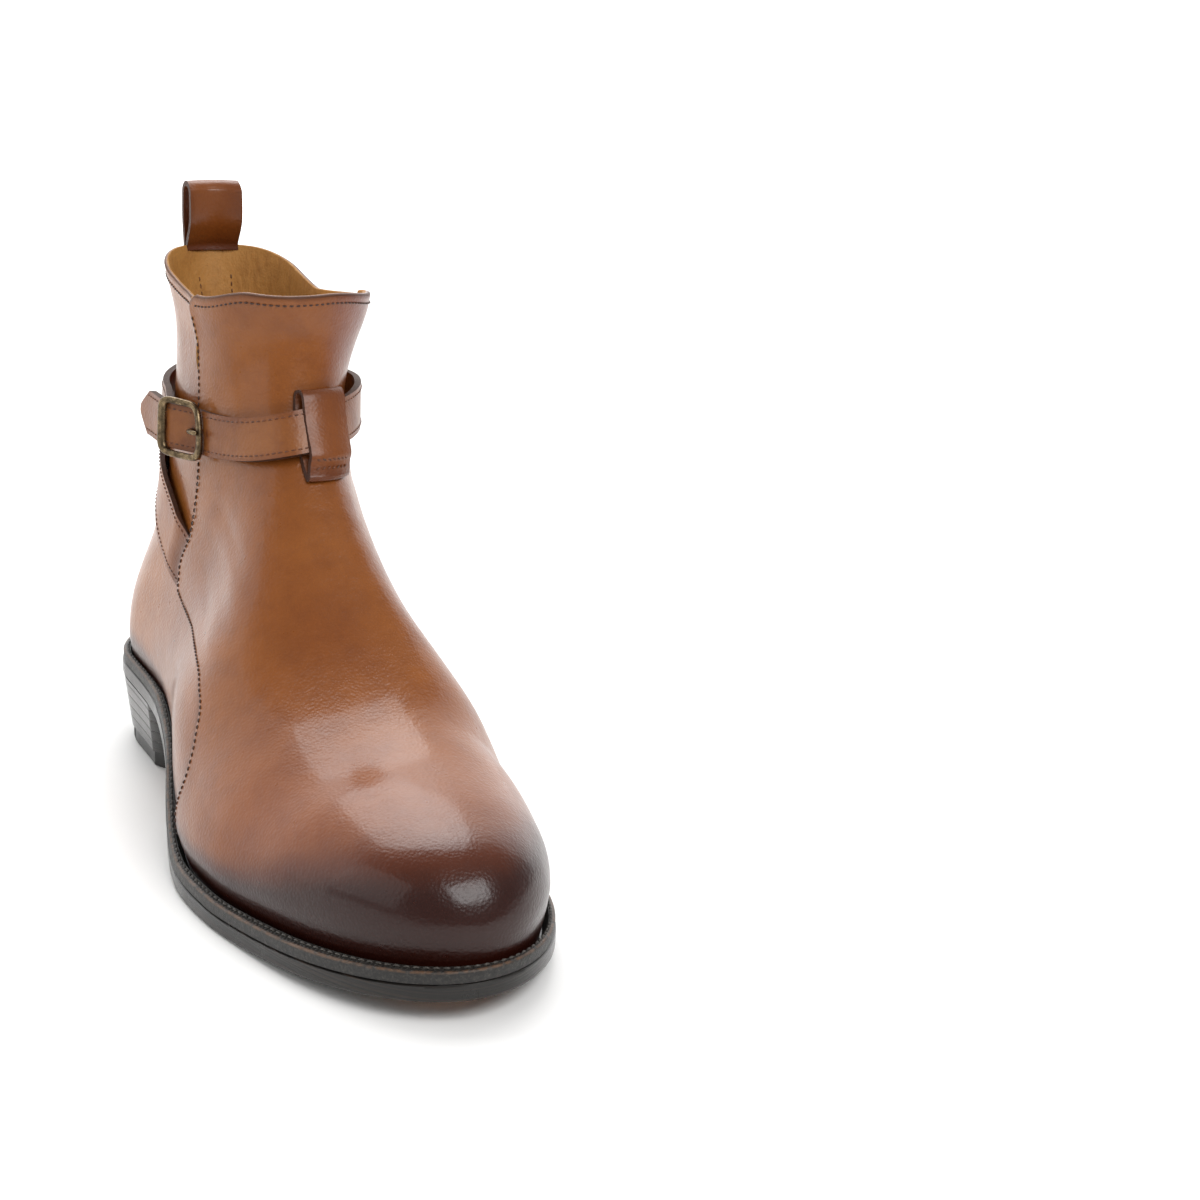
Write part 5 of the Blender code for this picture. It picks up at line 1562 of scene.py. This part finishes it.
def buckle():
    """The frame: a rounded rectangle of flattened bar in the strap's own space, and the prong's pin."""
    along, high = FRAME_HALF_LENGTH, FRAME_HALF_HEIGHT
    angle = np.linspace(0, 2 * math.pi, 121)[:-1]
    c, s = np.cos(angle), np.sin(angle)
    power = 0.36
    path = np.stack([along * np.sign(c) * np.abs(c) ** power, high * np.sign(s) * np.abs(s) ** power], 1)
    path = even_loop(path, 160)
    path[:, 0] += 0.0010 * np.clip(path[:, 0] / along, 0, 1) * (1 - (path[:, 1] / high) ** 2)
    tangent = unit(np.roll(path, -1, 0) - np.roll(path, 1, 0))
    turn = np.linspace(0, 2 * math.pi, 17)[:-1]
    across = BUCKLE_BAR * 0.5 * np.sign(np.cos(turn)) * np.abs(np.cos(turn)) ** 0.75
    out = BUCKLE_BAR * 0.46 * np.sign(np.sin(turn)) * np.abs(np.sin(turn)) ** 0.75
    arc = path[:, :1] + across[None] * tangent[:, 1:]
    up = path[:, 1:] - across[None] * tangent[:, :1]
    rear = TIP_LIFT + STRAP_THICK / 2 + GAP + BUCKLE_BAR / 2
    level = FRAME_LIFT + (rear - FRAME_LIFT) * np.clip(0.5 - arc / (2 * along), 0, 1)
    rings = strap_space(arc, up, level + out[None])
    brass = brass_look("antique_brass", BRASS_LIGHT, BRASS_DARK, 0.38)
    band("buckle_ring", rings, brass, "buckle", ("buckle_frame",), closed=True, sharp=60)
    rest = FRAME_LIFT + BUCKLE_BAR / 2 + PRONG_THICK / 2
    stops = (
        (PRONG_HOLE - 0.0012, INNER_LIFT),
        (PRONG_HOLE - 0.0002, INNER_LIFT + STRAP_THICK * 0.6),
        (PRONG_HOLE + 0.0014, rest - PRONG_THICK * 0.25),
        (FRAME_HALF_LENGTH * 0.90, rest + GAP),
        (FRAME_HALF_LENGTH + BUCKLE_BAR * 0.45, rest),
        (FRAME_HALF_LENGTH + BUCKLE_BAR * 0.80, rest - PRONG_THICK * 0.35),
    )
    path = spline(stops, 60)
    tangent = unit(np.gradient(path, axis=0))
    to_end = np.arange(len(path), 0, -1)
    radius = PRONG_THICK / 2 * np.sqrt(np.clip(to_end / 6, 0.05, 1))
    ring_up = radius[:, None] * np.cos(turn)[None]
    ring_out = radius[:, None] * np.sin(turn)[None]
    arc = path[:, :1] - ring_out * tangent[:, 1:]
    lift = path[:, 1:] + ring_out * tangent[:, :1]
    band("prong_pin", strap_space(arc, ring_up, lift), brass, "buckle", ("buckle_prong",), sharp=60)


def folded(name, path, half, middle, width, base_z, node, closed, burnish_and_shade):
    """Leather folded along a path of (height, lift), its width across the shaft's surface."""
    tangent = unit(np.roll(path, -1, 0) - np.roll(path, 1, 0) if closed else np.gradient(path, axis=0))
    side = np.column_stack([-tangent[:, 1], tangent[:, 0]])
    across, out = bar(1.0, half, half * 0.8).T
    across = np.clip(across, -1, 1)
    height = base_z + path[:, :1] + side[:, :1] * out[None]
    lift = path[:, 1:] + side[:, 1:] * out[None]
    rings = on_shaft(middle, width / 2 * across[None] + 0 * lift, height, lift)
    values = {"side": np.abs(across)[None], "burnish_and_shade": burnish_and_shade[:, None]}
    band(name, rings, KEEPER_LOOK, "strap_leather", (node,), closed=closed, values=values)


def keeper_loop():
    """The keeper: leather folded round the strap, sewn to the shaft's front below it."""
    half = KEEPER_HALF
    back = KEEPER_SEAT + half
    front = KEEPER_LIFT + STRAP_THICK / 2 + GAP + half
    bow, edge, top = KEEPER_BOW * 0.4, STRAP_WIDTH / 2, KEEPER_TOP
    bottom = KEEPER_HEIGHT - KEEPER_TOP
    stops = (
        (-bottom, back), (-edge, back), (0.0, back), (edge, back), (top - 2 * half, back + GAP),
        (top - half, (2 * back + front) / 3), (top - 1.5 * half, (back + 3 * front) / 4),
        (edge + half, front + 0.3 * bow), (0.0, front + bow), (-edge - half, front + 0.3 * bow),
        (-(edge + bottom) / 2, (back + front) / 2 + 1.2 * half), (-bottom + half, back + 2.1 * half),
        (-bottom - 0.4 * half, back + 1.2 * half),
    )
    path = spline(np.array(stops)[::-1], 150, closed=True)
    height = path[:, 0]
    burnish_and_shade = 0.6 * ease(0.004, 0.0, height + bottom) + 0.4 * ease(edge - 0.003, top, height)
    level = strap_height(KEEPER_TURN)
    folded("keeper_loop", path, half, KEEPER_TURN, KEEPER_SPAN, level, "strap_keeper", True, burnish_and_shade)
    fold = spline(np.array(stops[7:13]), 80)
    rows = []
    across = np.linspace(-0.42, 0.42, 24) * KEEPER_SPAN
    for rise, slant in ((0.0016, 0.5), (0.0036, -0.5)):
        z = np.full_like(across, level - bottom + rise)
        face = fold[fold[:, 1] > back + half]
        over = np.interp(rise - bottom, face[::-1, 0], face[::-1, 1]) + 1.5 * half
        rows.append(row_on(lambda lift: on_shaft(KEEPER_TURN, across, z, lift), over, KEEPER_STITCH, slant))
    return rows


def back_loop():
    """The pull loop over the back of the collar, with a row of stitches across its outer leg."""
    half = LOOP_LEATHER / 2
    out = 1.5 * GAP + half
    into = -WALL - 2 * GAP - half
    middle = (out + into) / 2
    top = LOOP_RISE - (out - into) / 2
    stops = [(-LOOP_LEG, out), (-LOOP_LEG / 2, out), (0.0, out), (top / 2, out + LOOP_BOW)]
    for step in range(7):
        angle = math.pi * step / 6
        reach = (out - into) / 2 + LOOP_BOW
        stops.append((top + reach * math.sin(angle), middle + reach * math.cos(angle)))
    stops += [(top / 2, into - LOOP_BOW), (0.0022, -WALL * 0.9), (0.0, -WALL * 0.62), (-0.0016, -WALL * 0.55)]
    path = spline(stops, 150)
    # Darker towards the foot of the outer leg, and painted shade on the inner leg where it goes down into the
    # shaft
    burnish_and_shade = 0.5 * ease(-0.006, -0.016, path[:, 0]) + 0.8 * ease(0.005, 0.0, path[:, 0]) * (path[:, 1] < 0)
    folded("back_loop", path, half, 1.0, LOOP_WIDTH, COLLAR_HEIGHT, "pull_loop", False, burnish_and_shade)
    rows = []
    across = np.linspace(-0.42, 0.42, 24) * LOOP_WIDTH
    for rise in (0.0018, LOOP_LEG - 0.002):
        z = np.full_like(across, COLLAR_HEIGHT - LOOP_LEG + rise)
        rows.append(row_on(lambda lift: on_shaft(1.0, across, z, lift), out + half, LOOP_STITCH))
    return rows


def heel_sling():
    """The sling round the back of the heel, with a row of stitches along both edges."""
    turns = np.linspace(-0.498, -1.502, 250)
    def place(turn, up, out):
        back = 1 - np.abs(np.abs(turn) - 1) * 2
        low = COLLAR_HEIGHT * smooth(SLING["back"], SLING["low"], back)
        high = COLLAR_HEIGHT * smooth(SLING["back"], SLING["high"], back)
        stand = SLING_STAND_OFF * np.sin(math.pi * np.clip(back, 0, 1) ** 0.6) + GAP
        stand = stand + 0.4 * SLING_STAND_OFF * np.maximum(back, 0)
        z = (low + high) / 2 + up * (high - low) / 2
        free = ease(0.0, 0.11, back)
        lean = (GAP + (stand - GAP) * (up + 1) / 2 + vamp_lift(turn)) * free
        lift = lean + (SLING_THICK / 2 + out) * (0.40 + 0.60 * free)
        return at_height(turn, z) + lift[..., None] * outward(turn, z)
    across, out = bar(1.0, SLING_THICK / 2, SLING_THICK * 0.4, 16).T
    across = np.clip(across, -1, 1)
    turn, up = np.broadcast_arrays(turns[:, None], across[None])
    rings = place(turn, up, out[None] + 0 * turn)
    end = np.maximum(ease(0.06, 0.0, np.abs(turn + 0.5)), ease(0.06, 0.0, np.abs(turn + 1.5)))
    band("heel_sling", rings, SLING_LOOK, "calf", ("sling",), values={"side": np.abs(up), "burnish_and_shade": 0.7 * end})
    rows = -SLING_ROW, SLING_ROW
    return [row_on(lambda out: place(turns, row, out), SLING_THICK / 2, STRAP_STITCH) for row in rows]


SURROUND = 0.36
LIGHTS = (
    ("toe_box", (0.26, -0.95, 1.02), (0.0, -0.10, 0.05), (0.90, 0.70), 13.0),
    ("left", (-1.35, -0.15, 0.75), (0.0, 0.0, 0.09), (1.2, 1.2), 4.5),
    ("floor_wash", (0.2, 1.1, 1.7), (0.1, 0.8, 0.0), (1.4, 1.0), 20.0),
)
FLOOR_REACH = 9
BACKDROP_PLACE = 1.5
BACKDROP_GLOW = 1.15
BACKDROP_REACH = 5
BACKDROP_HEIGHT = 3


def sheet_object(name, corners, look):
    """One flat face."""
    mesh = bpy.data.meshes.new(name)
    mesh.from_pydata(corners, [], [(0, 1, 2, 3)])
    mesh.materials.append(look)
    face = bpy.data.objects.new(name, mesh)
    bpy.context.scene.collection.objects.link(face)
    return face


def make_stage():
    """A plain pale floor, a soft pale surround and three soft lights: above the toe, left and right."""
    far = FLOOR_REACH
    corners = [(-far, -far, 0), (far, -far, 0), (far, far, 0), (-far, far, 0)]
    floor = sheet_object("floor", corners, floor_look())
    white = Look("white_backdrop").done(Base_Color=(0.8, 0.8, 0.8), Emission_Color=(1.0, 1.0, 1.0),
                                        Emission_Strength=BACKDROP_GLOW)
    ends = [(-BACKDROP_REACH, 0), (BACKDROP_REACH, 0), (BACKDROP_REACH, BACKDROP_HEIGHT),
            (-BACKDROP_REACH, BACKDROP_HEIGHT)]
    backdrop = sheet_object("backdrop", [(x, BACKDROP_PLACE, z) for x, z in ends], white)
    world = bpy.data.worlds.new("surround")
    world.use_nodes = True
    shade = world.node_tree.nodes["Background"]
    shade.inputs["Color"].default_value = (1.0, 1.0, 1.0, 1)
    shade.inputs["Strength"].default_value = SURROUND
    bpy.context.scene.world = world
    for name, place, aim, size, power in LIGHTS:
        light = bpy.data.lights.new(name, "AREA")
        light.shape = "RECTANGLE"
        light.size, light.size_y = size
        light.energy = power
        lamp = bpy.data.objects.new(name, light)
        lamp.location = place
        lamp.rotation_euler = (Vector(place) - Vector(aim)).to_track_quat("Z", "Y").to_euler()
        bpy.context.scene.collection.objects.link(lamp)
    bpy.context.scene.view_settings.view_transform = "Standard"


STRAP_LOOK = strip_look("strap_calf", STRAP_TAN, STRAP_DEEP)
KEEPER_LOOK = strip_look("keeper_calf", CALF_TAN, STRAP_DEEP)
SLING_LOOK = strip_look("sling_calf", CALF_HONEY, CALF_TAN)

make_camera()
make_stage()
upper_wall()
upper_stitching()
welt_strip()
outsole_plate()
heel_block()
top_pieces()
strap_rows = strap_belt() + heel_sling() + keeper_loop() + back_loop()
stitching("strap_stitches", strap_rows, thread_look("strap_thread", THREAD_DARK, STRAP_DEEP), "strap_leather")
buckle()
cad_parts["insole"].data.materials.clear()
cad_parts["insole"].data.materials.append(insole_look())
